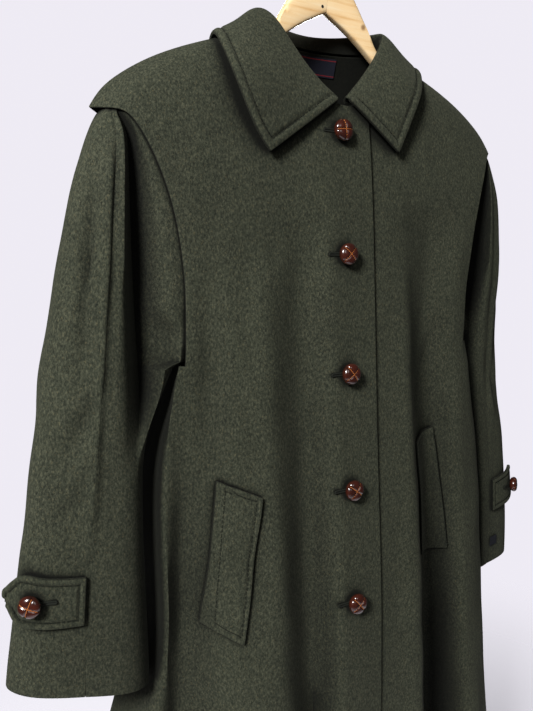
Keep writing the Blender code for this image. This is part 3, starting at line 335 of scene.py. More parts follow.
def merged_copy(node_name, piece_name):
    """Merged copy of a solid's mesh, in quads where its triangles pair up."""
    piece = bpy.data.objects.new(piece_name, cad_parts[node_name].data.copy())
    bpy.context.scene.collection.objects.link(piece)
    piece.data.materials.clear()
    only(piece)
    if piece.data.has_custom_normals:
        bpy.ops.mesh.customdata_custom_splitnormals_clear()
    bpy.ops.object.mode_set(mode="EDIT")
    bpy.ops.mesh.select_mode(type="EDGE")
    bpy.ops.mesh.select_all(action="SELECT")
    bpy.ops.mesh.mark_sharp(clear=True)
    bpy.ops.mesh.remove_doubles(threshold=MERGE)
    bpy.ops.mesh.tris_convert_to_quads(face_threshold=radians(70), shape_threshold=radians(120))
    bpy.ops.object.mode_set(mode="OBJECT")
    return piece


def select_sharp(piece):
    """Selects the edges round the wall, in edit mode."""
    only(piece)
    bpy.ops.object.mode_set(mode="EDIT")
    bpy.ops.mesh.select_mode(type="EDGE")
    bpy.ops.mesh.select_all(action="DESELECT")
    bpy.ops.mesh.edges_select_sharp(sharpness=SHARP)


def hand_over(piece, finish, slot, *nodes):
    """Gives a finished piece its material and its body, and hides the solids that it stands for."""
    piece.data.materials.clear()
    piece.data.materials.append(finish)
    only(piece)
    bpy.ops.object.shade_smooth_by_angle(angle=SMOOTH_UNDER)
    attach(piece, "root")
    if nodes:
        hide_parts(*nodes)


def cloth_from(node_name, piece_name, rounding, levels, close=0.0):
    """Smooth wall with rounded edges, in the place of a solid. Also gives its rim."""
    piece = merged_copy(node_name, piece_name)
    select_sharp(piece)
    bpy.ops.object.mode_set(mode="OBJECT")
    rim = rim_of(piece)
    draw_out(piece, close)
    bpy.ops.object.mode_set(mode="EDIT")
    bpy.ops.mesh.bevel(offset=rounding, segments=2, profile=0.5, clamp_overlap=False)
    bpy.ops.object.mode_set(mode="OBJECT")
    subdivide_smooth(piece, levels)
    return piece, rim


def draw_out(piece, reach):
    """Moves the selected rim a little outwards, so that sewn edges meet without a slit."""
    ways = {}
    for edge, (_, _, inwards, _) in zip(rim_edges(piece), rim_of(piece)):
        for number in edge.vertices:
            ways[number] = ways.get(number, Vector()) - inwards
    for number, way in ways.items():
        if way.length > MERGE:
            piece.data.vertices[number].co += way.normalized() * reach


def rim_edges(piece):
    """Selected edges between two faces."""
    count = {}
    for face in piece.data.polygons:
        for key in face.edge_keys:
            count[key] = count.get(key, 0) + 1
    return [edge for edge in piece.data.edges if edge.select and count.get(edge.key) == 2
            and (piece.data.vertices[edge.vertices[0]].co
                 - piece.data.vertices[edge.vertices[1]].co).length >= MERGE]


def rim_of(piece):
    """For each selected edge: its two ends, the way into the cloth, and the cloth's normal."""
    mesh = piece.data
    faces_at = {}
    for face in mesh.polygons:
        for key in face.edge_keys:
            faces_at.setdefault(key, []).append(face)
    rim = []
    for edge in rim_edges(piece):
        beside = faces_at[edge.key]
        first, second = (mesh.vertices[i].co.copy() for i in edge.vertices)
        along = second - first
        cloth = max(beside, key=lambda face: face.area)
        inwards = cloth.center - (first + second) / 2
        inwards -= inwards.project(along)
        rim.append((first, second, inwards.normalized(), cloth.normal.copy()))
    return rim


# %% [markdown]
# A coat on a hanger falls in long uneven folds. The solids hold the main ones. Three deep
# troughs of the skirt and all the smaller creases are placed here: each runs from one
# place to another, with its own width and height, and fades at both ends. A trough that ends
# far below the hem is still deep there. The same shift moves both faces of the wall, so the
# cloth keeps its thickness. Shifts fade out at the seams, where two pieces meet, under the
# collar and along the buttons.

# %% Creases of the body
# across_1, height_1, across_2, height_2, width, depth (a ridge is above zero)
FRONT_CREASES = (
    (-0.176, -0.37, -0.168, -0.66, 0.015, -0.0065),
    (-0.175, -0.46, -0.095, -0.62, 0.011, -0.0026),
    (-0.160, -0.43, -0.120, -0.55, 0.008, 0.0016),
    (-0.150, -0.64, -0.085, -0.86, 0.013, -0.0022),
    (-0.120, -0.80, -0.140, -1.12, 0.015, 0.0034),
    (-0.064, -0.36, -0.012, -1.90, 0.034, -0.0290),
    (-0.112, -0.40, -0.085, -1.80, 0.022, 0.0100),
    (-0.200, -0.52, -0.240, -1.90, 0.032, -0.0380),
    (-0.210, -0.86, -0.235, -1.20, 0.016, -0.0046),
    (-0.185, -0.95, -0.190, -1.24, 0.012, 0.0030),
    (-0.090, -1.00, -0.098, -1.24, 0.014, -0.0034),
    (-0.050, -0.25, -0.095, -0.37, 0.010, -0.0010),
    (0.165, -0.46, 0.100, -0.58, 0.010, -0.0024),
    (0.150, -0.42, 0.125, -0.53, 0.008, 0.0014),
    (0.075, -0.60, 0.085, -0.88, 0.012, 0.0022),
    (0.128, -0.34, 0.240, -2.00, 0.037, -0.0500),
    (0.082, -0.40, 0.140, -1.90, 0.018, 0.0130),
    (0.180, -0.56, 0.275, -1.80, 0.022, 0.0070),
    (0.240, -0.98, 0.262, -1.24, 0.012, 0.0036),
    (0.060, -0.95, 0.070, -1.23, 0.013, -0.0030),
)
BACK_CREASES = (
    (-0.150, -0.30, -0.080, -0.50, 0.014, -0.0060),
    (-0.060, -0.36, -0.020, -0.62, 0.018, 0.0048),
    (-0.160, -0.46, -0.110, -0.60, 0.011, 0.0056),
    (-0.140, -0.70, -0.165, -1.10, 0.014, -0.0072),
    (-0.050, -0.72, -0.045, -1.18, 0.016, -0.0064),
    (-0.225, -0.92, -0.245, -1.22, 0.014, 0.0072),
    (0.140, -0.29, 0.090, -0.44, 0.012, -0.0056),
    (0.060, -0.44, 0.105, -0.62, 0.013, 0.0052),
    (0.165, -0.50, 0.120, -0.66, 0.011, -0.0064),
    (0.055, -0.78, 0.060, -1.16, 0.015, 0.0068),
    (0.150, -0.84, 0.142, -1.24, 0.013, -0.0072),
    (0.235, -0.90, 0.258, -1.20, 0.014, 0.0064),
)
BUTTON_STRIP = 0.050       # half width of the strip that the buttons hold flat
RIPPLE = 0.0008            # height of the fine unevenness of hanging cloth
SEAM_NEAR, SEAM_FAR = 0.006, 0.030
COLLAR_NEAR, COLLAR_FAR = 0.27, 0.36


def soft_step(value, start, end):
    share = np.clip((value - start) / (end - start), 0.0, 1.0)
    return share * share * (3.0 - 2.0 * share)


def crease_height(across, height, creases):
    """Sum of all creases at places on the cloth."""
    total = np.zeros_like(across)
    for across_1, height_1, across_2, height_2, width, depth in creases:
        run, fall = across_2 - across_1, height_2 - height_1
        share = ((across - across_1) * run + (height - height_1) * fall) / (run * run + fall * fall)
        share = np.clip(share, 0.0, 1.0)
        square = (across - across_1 - share * run) ** 2 + (height - height_1 - share * fall) ** 2
        total += depth * np.exp(-square / width ** 2) * (0.2 + 0.8 * np.sin(pi * share))
    return total


def ripple(across, height):
    """Fine unevenness, from waves of unlike lengths."""
    long_waves = np.sin(2 * pi * (across / 0.083 + height / 0.31) + 0.6)
    long_waves *= np.sin(2 * pi * (height / 0.147 - across / 0.40) + 1.1)
    short_waves = np.sin(2 * pi * (across / 0.049 - height / 0.23) + 2.0)
    short_waves *= np.sin(2 * pi * (height / 0.19 + across / 0.11))
    return RIPPLE * (long_waves + 0.6 * short_waves)


def body_shift(places, back):
    """How far out each place on the body moves, along the front or the back."""
    across, depth, height = places.T
    creases = BACK_CREASES if back else FRONT_CREASES
    out = crease_height(across, height, creases) + ripple(across, height)
    out *= soft_step(np.abs(depth), SEAM_NEAR, SEAM_FAR)
    out *= soft_step(-height, COLLAR_NEAR, COLLAR_FAR)
    if not back:
        out *= soft_step(np.abs(across), 0.4 * BUTTON_STRIP, 1.1 * BUTTON_STRIP)
    shift = np.zeros_like(places)
    shift[:, 1] = out if back else -out
    return shift


# %% Back and fronts
PANEL_ROUNDING = 0.0008
SEAM_REACH = 0.0005        # a little over half the seam gap, so that a seam closes
# name: the rectangle it is cut from and its own area
PANEL_CUTS = {
    "back": ((0.76, 1.13), 0.640),
    "front_right": ((0.42, 1.12), 0.360),
    "front_left": ((0.42, 1.12), 0.375),
}

panels = {}


def dress_panel(part_name, shift, choice):
    """Smooth panel with its creases. The choice goes to the function that shifts it."""
    panel, _ = cloth_from(part_name, "coat_" + part_name, PANEL_ROUNDING, 2, SEAM_REACH)
    places = points_of(panel)
    put_points(panel, places + shift(places, choice))
    hand_over(panel, loden, "loden", part_name)
    panels[part_name] = panel
    print(panel.name, len(panel.data.polygons), "faces, one side", round(half_surface(panel), 3))


for part_name in PANEL_CUTS:
    dress_panel(part_name, body_shift, part_name == "back")

# %% [markdown]
# The sleeves are bent tubes, so their creases are placed by an angle round the sleeve and a
# height. Zero points outwards, minus ninety to the front. They gather at the elbow and
# under the cap, where an arm would bend, and the inner side stays plain because it lies
# against the body. Under the arm the sleeve's front goes in towards the body and its back
# goes backwards, which nearly closes the gap beside the panels.

# %% Creases of the sleeves
# angle_1, height_1, angle_2, height_2, width, depth
RIGHT_SLEEVE_CREASES = (
    (-90, -0.20, -88, -0.68, 0.010, 0.0060),
    (-72, -0.27, -66, -0.56, 0.010, 0.0022),
    (-52, -0.25, -58, -0.50, 0.011, -0.0034),
    (-30, -0.30, -40, -0.46, 0.010, 0.0018),
    (-95, -0.50, -30, -0.57, 0.012, -0.0036),
    (-90, -0.54, -48, -0.60, 0.009, 0.0022),
    (-84, -0.60, -20, -0.64, 0.010, -0.0026),
    (30, -0.36, 60, -0.52, 0.013, -0.0034),
    (10, -0.46, 50, -0.60, 0.012, 0.0026),
    (90, -0.34, 70, -0.50, 0.012, 0.0028),
)
LEFT_SLEEVE_CREASES = (
    (-76, -0.28, -70, -0.60, 0.010, 0.0028),
    (-50, -0.27, -60, -0.52, 0.012, -0.0032),
    (-92, -0.52, -20, -0.60, 0.012, -0.0034),
    (-85, -0.57, -40, -0.63, 0.009, 0.0022),
    (20, -0.34, 48, -0.50, 0.013, -0.0034),
    (85, -0.36, 62, -0.56, 0.012, 0.0028),
    (5, -0.50, 60, -0.62, 0.012, 0.0024),
)
SLEEVE_TOP_CENTRE = (0.262, -0.010, -0.25)
SLEEVE_LOW_CENTRE = (0.315, -0.022, -0.80)
LEFT_SLEEVE_SHIFT = 0.028
SLEEVE_RADIUS = 0.060
CREASES_FROM = (0.245, 0.30)            # depths below the hook between which creases set in
CREASES_UNTIL = (0.64, 0.675)           # and between which they stop, above the cuff strap
INNER_SIDE = (radians(105), radians(140))
# top, distances from the coat's middle between which it fades, distances in front of or
# behind the sleeve's middle between which it sets in, and reach
FRONT_TUCK = (-0.425, (0.222, 0.245), (0.004, 0.020), 0.016)
BACK_TUCK = (-0.370, (0.235, 0.265), (0.002, 0.012), 0.010)
TUCK_LOW = -0.486
TUCK_FADE = 0.030
TUCK_END = 0.006


def tuck_share(places, side, top, off_body):
    """How fully each place takes part in a tuck under the arm, from zero to one."""
    depth = -places[:, 2]
    share = soft_step(depth, -top, -top + TUCK_FADE)
    share *= 1.0 - soft_step(depth, -TUCK_LOW - TUCK_END, -TUCK_LOW)
    share *= 1.0 - soft_step(side * places[:, 0], *off_body)
    return share


def sleeve_shift(places, side):
    """How each place on a sleeve moves: by its creases, and by the tucks under the arm."""
    share = (places[:, 2] - SLEEVE_TOP_CENTRE[2]) / (SLEEVE_LOW_CENTRE[2] - SLEEVE_TOP_CENTRE[2])
    share = np.clip(share, 0.0, 1.0)
    centre = np.outer(1 - share, SLEEVE_TOP_CENTRE) + np.outer(share, SLEEVE_LOW_CENTRE)
    if side > 0:
        centre[:, 1] += LEFT_SLEEVE_SHIFT
    out_x = side * places[:, 0] - centre[:, 0]
    out_y = places[:, 1] - centre[:, 1]
    angle = np.arctan2(out_y, out_x)
    creases = RIGHT_SLEEVE_CREASES if side < 0 else LEFT_SLEEVE_CREASES
    around = [(radians(angle_1) * SLEEVE_RADIUS, height_1, radians(angle_2) * SLEEVE_RADIUS,
               height_2, width, depth)
              for angle_1, height_1, angle_2, height_2, width, depth in creases]
    out = crease_height(angle * SLEEVE_RADIUS, places[:, 2], around)
    out += ripple(angle * SLEEVE_RADIUS, places[:, 2])
    out *= 1.0 - soft_step(np.abs(angle), *INNER_SIDE)
    depth = -places[:, 2]
    out *= soft_step(depth, *CREASES_FROM) * (1.0 - soft_step(depth, *CREASES_UNTIL))
    shift = np.zeros_like(places)
    shift[:, 0] = side * np.cos(angle) * out
    shift[:, 1] = np.sin(angle) * out
    top, off_body, off_middle, reach = FRONT_TUCK
    tuck = tuck_share(places, side, top, off_body) * soft_step(-out_y, *off_middle)
    shift[:, 0] -= side * reach * tuck
    top, off_body, off_middle, reach = BACK_TUCK
    tuck = tuck_share(places, side, top, off_body) * soft_step(out_y, *off_middle)
    shift[:, 1] += reach * tuck
    return shift


# %% Sleeves
SLEEVE_CUTS = {
    "sleeve_right_front": ((0.12, 0.58), 0.057),
    "sleeve_right_back": ((0.24, 0.60), 0.125),
    "sleeve_left_front": ((0.11, 0.61), 0.048),
    "sleeve_left_back": ((0.23, 0.62), 0.118),
}

for part_name in SLEEVE_CUTS:
    dress_panel(part_name, sleeve_shift, -1 if "right" in part_name else 1)

# %% [markdown]
# Topstitching holds the layers of a thick edge together. The thread sinks into the wool, so
# the line is a soft groove with a small stitch every few millimetres. The groove follows the
# piece's own rim: each place is measured to the nearest point of the rim, and sinks where
# that distance is the stitching's. One stitch is modelled once and copied along the line.

# %% Groove along a rim
RIM_STEP = 0.0010


def along_rim(rim, step):
    """Places along each kept stretch of a rim: point, way along, way in and normal."""
    for first, second, inwards, normal in rim:
        length = (second - first).length
        count = max(1, round(length / step))
        for number in range(count):
            yield (first.lerp(second, (number + 0.5) / count), (second - first) / length,
                   inwards, normal)


def long_stretches(rim, least):
    """Rows of a rim that join up, end to end, to at least a given length."""
    leader = list(range(len(rim)))

    def lead(number):
        while leader[number] != number:
            number = leader[number]
        return number

    met = {}
    for number, row in enumerate(rim):
        for end in row[:2]:
            key = tuple(round(value, 5) for value in end)
            if key in met:
                leader[lead(number)] = lead(met[key])
            met[key] = number
    lengths = {}
    for number, row in enumerate(rim):
        lengths[lead(number)] = lengths.get(lead(number), 0.0) + (row[1] - row[0]).length
    return [row for number, row in enumerate(rim) if lengths[lead(number)] >= least]


def rim_tree(rim):
    samples = [place for place, _, _, _ in along_rim(rim, RIM_STEP)]
    tree = KDTree(len(samples))
    for number, place in enumerate(samples):
        tree.insert(place, number)
    tree.balance()
    return tree


def press_groove(piece, rim, inset, width, depth, roll=0.0):
    """Sinks a groove at a distance from the rim, and swells the edge outside it."""
    tree = rim_tree(rim)
    places, normals = points_of(piece), normals_of(piece)
    distance = np.array([tree.find(place)[2] for place in places])
    shift = -depth * np.exp(-((distance - inset) / width) ** 2)
    shift += roll * np.exp(-((distance - 0.5 * inset) / (0.4 * inset)) ** 2)
    put_points(piece, places + normals * shift[:, None])


# %% Thread
THREAD_COLOUR = (0.016, 0.019, 0.012)


def thread_material(name, colour, roughness=0.9):
    """Twisted thread: fine slanted stripes of light and dark."""
    made, shader = new_material(name)
    twist = node(made, "ShaderNodeTexWave", Scale=900.0, Distortion=1.5, Detail=1.0)
    link(made, stretched(made, turn=(0.0, 0.6, 0.5)), twist.inputs["Vector"])
    shade = ramp_node(made, [(0.2, tuple(0.6 * c for c in colour)), (0.8, colour)])
    link(made, twist.outputs["Fac"], shade.inputs["Fac"])
    link(made, shade.outputs["Color"], shader.inputs["Base Color"])
    set_inputs(shader, Roughness=roughness, Specular_IOR_Level=0.2)
    bump(made, shader, twist.outputs["Fac"], 0.0002, 0.6)
    return made


coat_thread = thread_material("coat_thread", THREAD_COLOUR)

# %% Stitches
STITCH_LENGTH = 0.0034
STITCH_WIDTH = 0.0009
STITCH_PITCH = 0.0046


def stitch_model(length, width):
    """One stitch: a six-sided thread with narrow ends, lying along X."""
    bpy.ops.object.select_all(action="DESELECT")
    bpy.ops.mesh.primitive_cylinder_add(vertices=6, radius=width / 2, depth=length,
                                        rotation=(0.0, pi / 2, 0.0))
    made = bpy.context.object
    bpy.ops.object.transform_apply(location=True, rotation=True, scale=True)
    bpy.ops.object.mode_set(mode="EDIT")
    bpy.ops.mesh.select_all(action="SELECT")
    bpy.ops.mesh.bevel(offset=width * 0.3, segments=1, clamp_overlap=True)
    bpy.ops.object.mode_set(mode="OBJECT")
    return made


def frame_matrix(place, along, normal):
    """Matrix that lays a model's X along one way and its Z along the normal."""
    normal = Vector(normal).normalized()
    along = Vector(along)
    along = (along - along.project(normal)).normalized()
    turned = Matrix((along, normal.cross(along), normal)).transposed().to_4x4()
    return Matrix.Translation(place) @ turned


def copies_joined(model, matrices, name):
    """Copies of a model, each with its own mesh, joined to one piece."""
    copies = []
    for matrix in matrices:
        made = bpy.data.objects.new(name, model.data.copy())
        made.data.transform(matrix)
        bpy.context.scene.collection.objects.link(made)
        copies.append(made)
    bpy.ops.object.select_all(action="DESELECT")
    for made in copies:
        made.select_set(True)
    bpy.context.view_layer.objects.active = copies[0]
    if len(copies) > 1:
        bpy.ops.object.join()
    copies[0].name = name
    return copies[0]


def tree_of(piece):
    """Search tree of a piece's faces, for laying small things on it."""
    mesh = piece.data
    return BVHTree.FromPolygons([v.co.copy() for v in mesh.vertices],
                                [tuple(f.vertices) for f in mesh.polygons])


def sew(piece, rim, inset, name):
    """Row of stitches at a distance from the rim, laid on the piece's surface."""
    surface, edge = tree_of(piece), rim_tree(rim)
    matrices = []
    for place, along, inwards, normal in along_rim(rim, STITCH_PITCH):
        target = place + inwards * inset
        if edge.find(target)[2] < 0.85 * inset:
            continue
        on_cloth, cloth_normal, _, _ = surface.find_nearest(target)
        if cloth_normal.dot(normal) < 0.3:
            continue
        matrices.append(frame_matrix(on_cloth + cloth_normal * 0.1 * STITCH_WIDTH, along,
                                     cloth_normal))
    stitches = copies_joined(stitch, matrices, name)
    hand_over(stitches, coat_thread, "loden")
    print(name, len(matrices), "stitches")
    return stitches


def edged_piece(part_name, piece_name, rounding, inset, groove, kept, shift=None):
    """Piece with a stitched edge, and its stitches. kept picks the stitched part of its rim."""
    piece, rim = cloth_from(part_name, piece_name, rounding, 3)
    if shift:
        places = points_of(piece)
        put_points(piece, places + shift(places))
    edge = kept(rim)
    press_groove(piece, edge, inset, *groove)
    hand_over(piece, loden, "loden", part_name)
    stitches = sew(piece, edge, inset, piece_name.replace("coat_", "") + "_stitches")
    print(piece.name, len(piece.data.polygons), "faces, one side", round(half_surface(piece), 4))
    return piece, stitches


stitch = stitch_model(STITCH_LENGTH, STITCH_WIDTH)

# %% [markdown]
# The collar is two layers of loden with interlining between them. It rises from the neck
# seam, rolls over and falls on the shoulders. Its edge is turned and stitched one
# centimetre in, which leaves a thick round roll along the rim. It gets one more level of
# subdivision than the body, because the groove is narrow.

# %% Collar
COLLAR_ROUNDING = 0.0013
COLLAR_INSET = 0.0095
COLLAR_GROOVE = (0.0019, 0.0016, 0.0009)   # width, depth and swell of the edge outside it
LEAF_RIM_LEAST = 0.05          # shorter stretches of rim are no part of the leaf's edge
NECK_OVAL = (0.092, 0.050)     # the neck seam lies inside this oval and has no topstitch


def leaf_rim(rim):
    """The rim of the collar's leaf alone, on its upper layer."""
    kept = []
    for first, second, inwards, normal in rim:
        middle = (first + second) / 2
        if (middle.x / NECK_OVAL[0]) ** 2 + (middle.y / NECK_OVAL[1]) ** 2 < 1.0:
            continue
        if normal.dot(Vector((0.35 * middle.x, middle.y, 0.0))) > 0:
            kept.append((first, second, inwards, normal))
    return long_stretches(kept, LEAF_RIM_LEAST)


collar, collar_stitches = edged_piece("collar", "coat_collar", COLLAR_ROUNDING, COLLAR_INSET,
                                      COLLAR_GROOVE, leaf_rim)

# %% [markdown]
# The pocket welts are slanted bands. Their outer long edge is open for the hand and the
# other edges are sewn down. The cuff straps start in the sleeve's seam and end in a point,
# held by a button. Both are stitched near their edges, like the collar.

# %% Pocket welts
WELT_ROUNDING = 0.0011
WELT_INSET = 0.0060
WELT_GROOVE = (0.0015, 0.0011, 0.0004)


def upper_rim(rim):
    """The part of a welt's rim whose cloth faces the front."""
    return [row for row in rim if row[3].dot(Vector((0, -1, 0))) > 0.3]


def with_front(places):
    return body_shift(places, False)


small_pieces = {}
for label in ("right", "left"):
    small_pieces["pocket_" + label] = edged_piece(
        "pocket_welt_" + label, "coat_pocket_" + label, WELT_ROUNDING, WELT_INSET,
        WELT_GROOVE, upper_rim, with_front)

# %% Cuff straps
STRAP_ROUNDING = 0.0011
STRAP_INSET = 0.0065
STRAP_GROOVE = (0.0015, 0.0012, 0.0006)

def outer_rim(side):
    """Picks the part of a strap's rim whose cloth faces out and forwards, on one side."""
    outwards = Vector((0.45 * side, -0.9, 0.0))
    return lambda rim: [row for row in rim if row[3].dot(outwards) > 0.1]


for label, side in (("right", -1), ("left", 1)):
    small_pieces["strap_" + label] = edged_piece(
        "cuff_strap_" + label, "coat_strap_" + label, STRAP_ROUNDING, STRAP_INSET,
        STRAP_GROOVE, outer_rim(side))

# %% [markdown]
# Each button is a leather ball pressed flat: four quarters are drawn together over a core
# and sewn with a row of short stitches across each seam. A sphere gives its rings, which are
# set to the dome's outline. Then the seams between the quarters sink in and each quarter
# swells. The leather is polished by wear, so it has a clear gloss over a fine grain.

# %% Leather
LEATHER_DARK = (0.020, 0.0042, 0.0022)
LEATHER_WARM = (0.058, 0.0105, 0.0044)
BUTTON_THREAD = (0.62, 0.20, 0.045)

leather, shader = new_material("button_leather")
grain = node(leather, "ShaderNodeTexVoronoi", Scale=1500.0)
link(leather, stretched(leather), grain.inputs["Vector"])
tone = ramp_node(leather, [(0.28, LEATHER_DARK), (0.78, LEATHER_WARM)])
link(leather, noise(leather, stretched(leather), 90.0, 3.0, 0.5), tone.inputs["Fac"])
link(leather, tone.outputs["Color"], shader.inputs["Base Color"])
set_inputs(shader, Roughness=0.22, Specular_IOR_Level=0.6, Coat_Weight=0.7, Coat_Roughness=0.12)
bump(leather, shader, grain.outputs["Distance"], 0.00015, 0.3)

button_thread = thread_material("button_thread", BUTTON_THREAD, 0.6)

# %% Button model
BUTTON_RINGS = 30
BUTTON_SEGMENTS = 64
SEAM_DEPTH = 0.0011
SEAM_WIDTH = 0.0010
QUARTER_SWELL = 0.0007
DOME_FULLNESS = 0.72       # power of the outline: below one the sides are fuller than a ball's
DOME_HEIGHT = 0.245        # half the button's height, as a share of its diameter
SEAM_STITCHES = (0.12, 0.34, 0.56, 0.78)   # places along a seam, as shares of the radius


def dome_places(unit, diameter):
    """Places of a button from the places of a unit sphere, its base at height zero."""
    polar = np.arccos(np.clip(-unit[:, 2], -1.0, 1.0))
    around = np.arctan2(unit[:, 1], unit[:, 0])
    radius = diameter / 2 * np.power(np.clip(np.sin(polar), 0.0, 1.0), DOME_FULLNESS)
    height = diameter * DOME_HEIGHT * (1.0 - np.cos(polar))
    upper = soft_step(height, 0.10 * diameter, 0.28 * diameter)
    to_seam = radius * np.abs(np.sin(2 * around)) / 2
    groove = np.exp(-(to_seam / SEAM_WIDTH) ** 2) * upper
    swell = QUARTER_SWELL * np.abs(np.sin(2 * around)) * upper * np.sin(polar)
    height = height - SEAM_DEPTH * groove + swell
    radius = radius - 0.6 * SEAM_DEPTH * groove * soft_step(radius, 0.3 * diameter, 0.5 * diameter)
    return np.column_stack((radius * np.cos(around), radius * np.sin(around), height))


def button_model(diameter):
    bpy.ops.object.select_all(action="DESELECT")
    bpy.ops.mesh.primitive_uv_sphere_add(segments=BUTTON_SEGMENTS, ring_count=BUTTON_RINGS,
                                         radius=1.0)
    made = bpy.context.object
    put_points(made, dome_places(points_of(made), diameter))
    return made


def thread_places(diameter):
    """Stitches that close the button's seams: a row along each arm."""
    rows = []
    for arm in range(4):
        around = arm * pi / 2
        for share in SEAM_STITCHES:
            polar = pi - np.arcsin(share ** (1 / DOME_FULLNESS))
            spot = dome_places(np.array([[sin(polar) * cos(around), sin(polar) * sin(around),
                                          -cos(polar)]]), diameter)[0]
            outwards = Vector((cos(around), sin(around), 0.0))
            lean = (Vector((0.0, 0.0, 1.0)) + 0.9 * share * outwards).normalized()
            rows.append(frame_matrix(Vector(spot) + lean * 0.0001, outwards, lean))
    return rows


# %% Buttons
BUTTON_TURNS = {
    "button_front_1": 4, "button_front_2": 45, "button_front_3": 38, "button_front_4": 52,
    "button_front_5": 41, "button_cuff_right": 70, "button_cuff_left": 20,
}
BUTTON_STITCH = (0.0024, 0.0007)   # length and width


def axis_of(node_name, outwards):
    """Base point, axis and diameter of a round solid. It is flattest along its axis."""
    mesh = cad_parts[node_name].data
    places = np.array([v.co[:] for v in mesh.vertices])
    centre = places.mean(axis=0)
    _, directions = np.linalg.eigh(np.cov((places - centre).T))
    axis = directions[:, 0]
    if np.dot(axis, outwards) < 0:
        axis = -axis
    heights = (places - centre) @ axis
    spokes = np.linalg.norm((places - centre) - np.outer(heights, axis), axis=1)
    return Vector(centre + axis * heights.min()), Vector(axis), 2 * float(spokes.max())


button_stitch = stitch_model(*BUTTON_STITCH)
button_axes = {}
for name, turn in BUTTON_TURNS.items():
    side = -1 if "right" in name else 1
    outwards = (0.7 * side, -0.7, 0.0) if "cuff" in name else (0.0, -1.0, 0.0)
    base, axis, diameter = axis_of(name, outwards)
    level_way = Vector((0, 0, 1)).cross(axis).normalized()
    turned = Matrix.Rotation(radians(turn), 4, "Z")
    seat = frame_matrix(base, level_way, axis) @ turned
    button = button_model(diameter)
    button.data.transform(seat)
    button.name = name.replace("button", "leather_button")
    hand_over(button, leather, "button leather", name)
    matrices = [seat @ place for place in thread_places(diameter)]
    threads = copies_joined(button_stitch, matrices, name.replace("button", "button_threads"))
    hand_over(threads, button_thread, "button leather")
    button_axes[name] = (base, axis)
    print(button.name, "diameter", round(diameter * 1000, 1), "mm")

# %% [markdown]
# A worked buttonhole is a slit whose lips are wrapped in thread. A torus is pulled apart in
# its middle to a racetrack, and a dark sliver between the lips is painted shade for the slit,
# which the button holds shut. Those of the front lie across, from under the button inwards.

# %% Buttonholes
HOLE_HALF = 0.0115
LIP_RADIUS = 0.0010
LIP_SPREAD = 0.0012
FRONT_HOLE_SHIFT = 0.0095      # from the button's middle to the middle of its hole
STRAP_HOLE_SHIFT = 0.0105

hole_thread = thread_material("hole_thread", (0.013, 0.015, 0.010))
# painted shade: a near-black sheet stands for the shade inside a slit or a hole
painted_hole_shade, shader = new_material("slit_shadow")
shadow = ramp_node(painted_hole_shade, [(0.4, (0.0015, 0.0018, 0.0012)), (0.6, (0.004, 0.0045, 0.003))])
link(painted_hole_shade, noise(painted_hole_shade, stretched(painted_hole_shade), 600.0), shadow.inputs["Fac"])
link(painted_hole_shade, shadow.outputs["Color"], shader.inputs["Base Color"])
set_inputs(shader, Roughness=1.0)


def edit_places(piece, chosen):
    """Opens edit mode with only those vertices selected whose place passes a test."""
    for element in (*piece.data.vertices, *piece.data.edges, *piece.data.polygons):
        element.select = False
    for vertex in piece.data.vertices:
        vertex.select = chosen(vertex.co)
    only(piece)
    bpy.ops.object.mode_set(mode="EDIT")
    bpy.ops.mesh.select_mode(type="VERT")


def pull_apart(piece, reach):
    """Moves the two halves of a ring apart along X."""
    for way in (-1, 1):
        edit_places(piece, lambda place: place.x * way > MERGE)
        bpy.ops.transform.translate(value=(way * reach, 0.0, 0.0))
        bpy.ops.object.mode_set(mode="OBJECT")


def lips_model():
    bpy.ops.object.select_all(action="DESELECT")
    bpy.ops.mesh.primitive_torus_add(major_segments=22, minor_segments=8, major_radius=LIP_SPREAD,
                                     minor_radius=LIP_RADIUS)
    made = bpy.context.object
    pull_apart(made, HOLE_HALF)
    return made


def slit_model():
    bpy.ops.object.select_all(action="DESELECT")
    bpy.ops.mesh.primitive_cylinder_add(vertices=22, radius=LIP_SPREAD, depth=0.0004)
    made = bpy.context.object
    pull_apart(made, HOLE_HALF)
    return made


def buttonhole(name, surface, middle, along):
    """Lips and slit, laid on the cloth nearest to a place."""
    place, normal, _, _ = surface.find_nearest(middle)
    seat = frame_matrix(place, along, normal)
    for model, label, finish in ((lips_model(), "_lips", hole_thread),
                                 (slit_model(), "_slit", painted_hole_shade)):
        model.data.transform(seat)
        model.name = name + label
        hand_over(model, finish, "loden")


front_surface = tree_of(panels["front_right"])
for number in range(1, 6):
    base, _ = button_axes[f"button_front_{number}"]
    middle = base + Vector((-FRONT_HOLE_SHIFT, 0, 0))
    buttonhole(f"hole_front_{number}", front_surface, middle, Vector((1, 0, 0)))
for label, side in (("right", -1), ("left", 1)):
    base, axis = button_axes["button_cuff_" + label]
    inwards = -axis.cross(Vector((0, 0, 1))) * side
    inwards = inwards if inwards.x * side < 0 else -inwards
    strap_surface = tree_of(small_pieces["strap_" + label][0])
    buttonhole("hole_cuff_" + label, strap_surface, base + inwards * STRAP_HOLE_SHIFT, inwards)
print("seven buttonholes")

# %% [markdown]
# Two woven pieces are sewn in: the neck label, a navy tape with a thin red line along each
# long edge, and a small plain tab in the seam of the left cuff. Both stay bare of words and
# signs. Their weave is a fine grid of raised threads.

# %% Label and tab
LABEL_LINES = 0.0022       # how far the red lines lie from the label's long edges
LABEL_LINE_WIDTH = 0.0005
LABEL_NAVY = (0.0065, 0.0070, 0.0125)
LABEL_RED = (0.15, 0.010, 0.013)
TAB_DARK = (0.010, 0.011, 0.014)


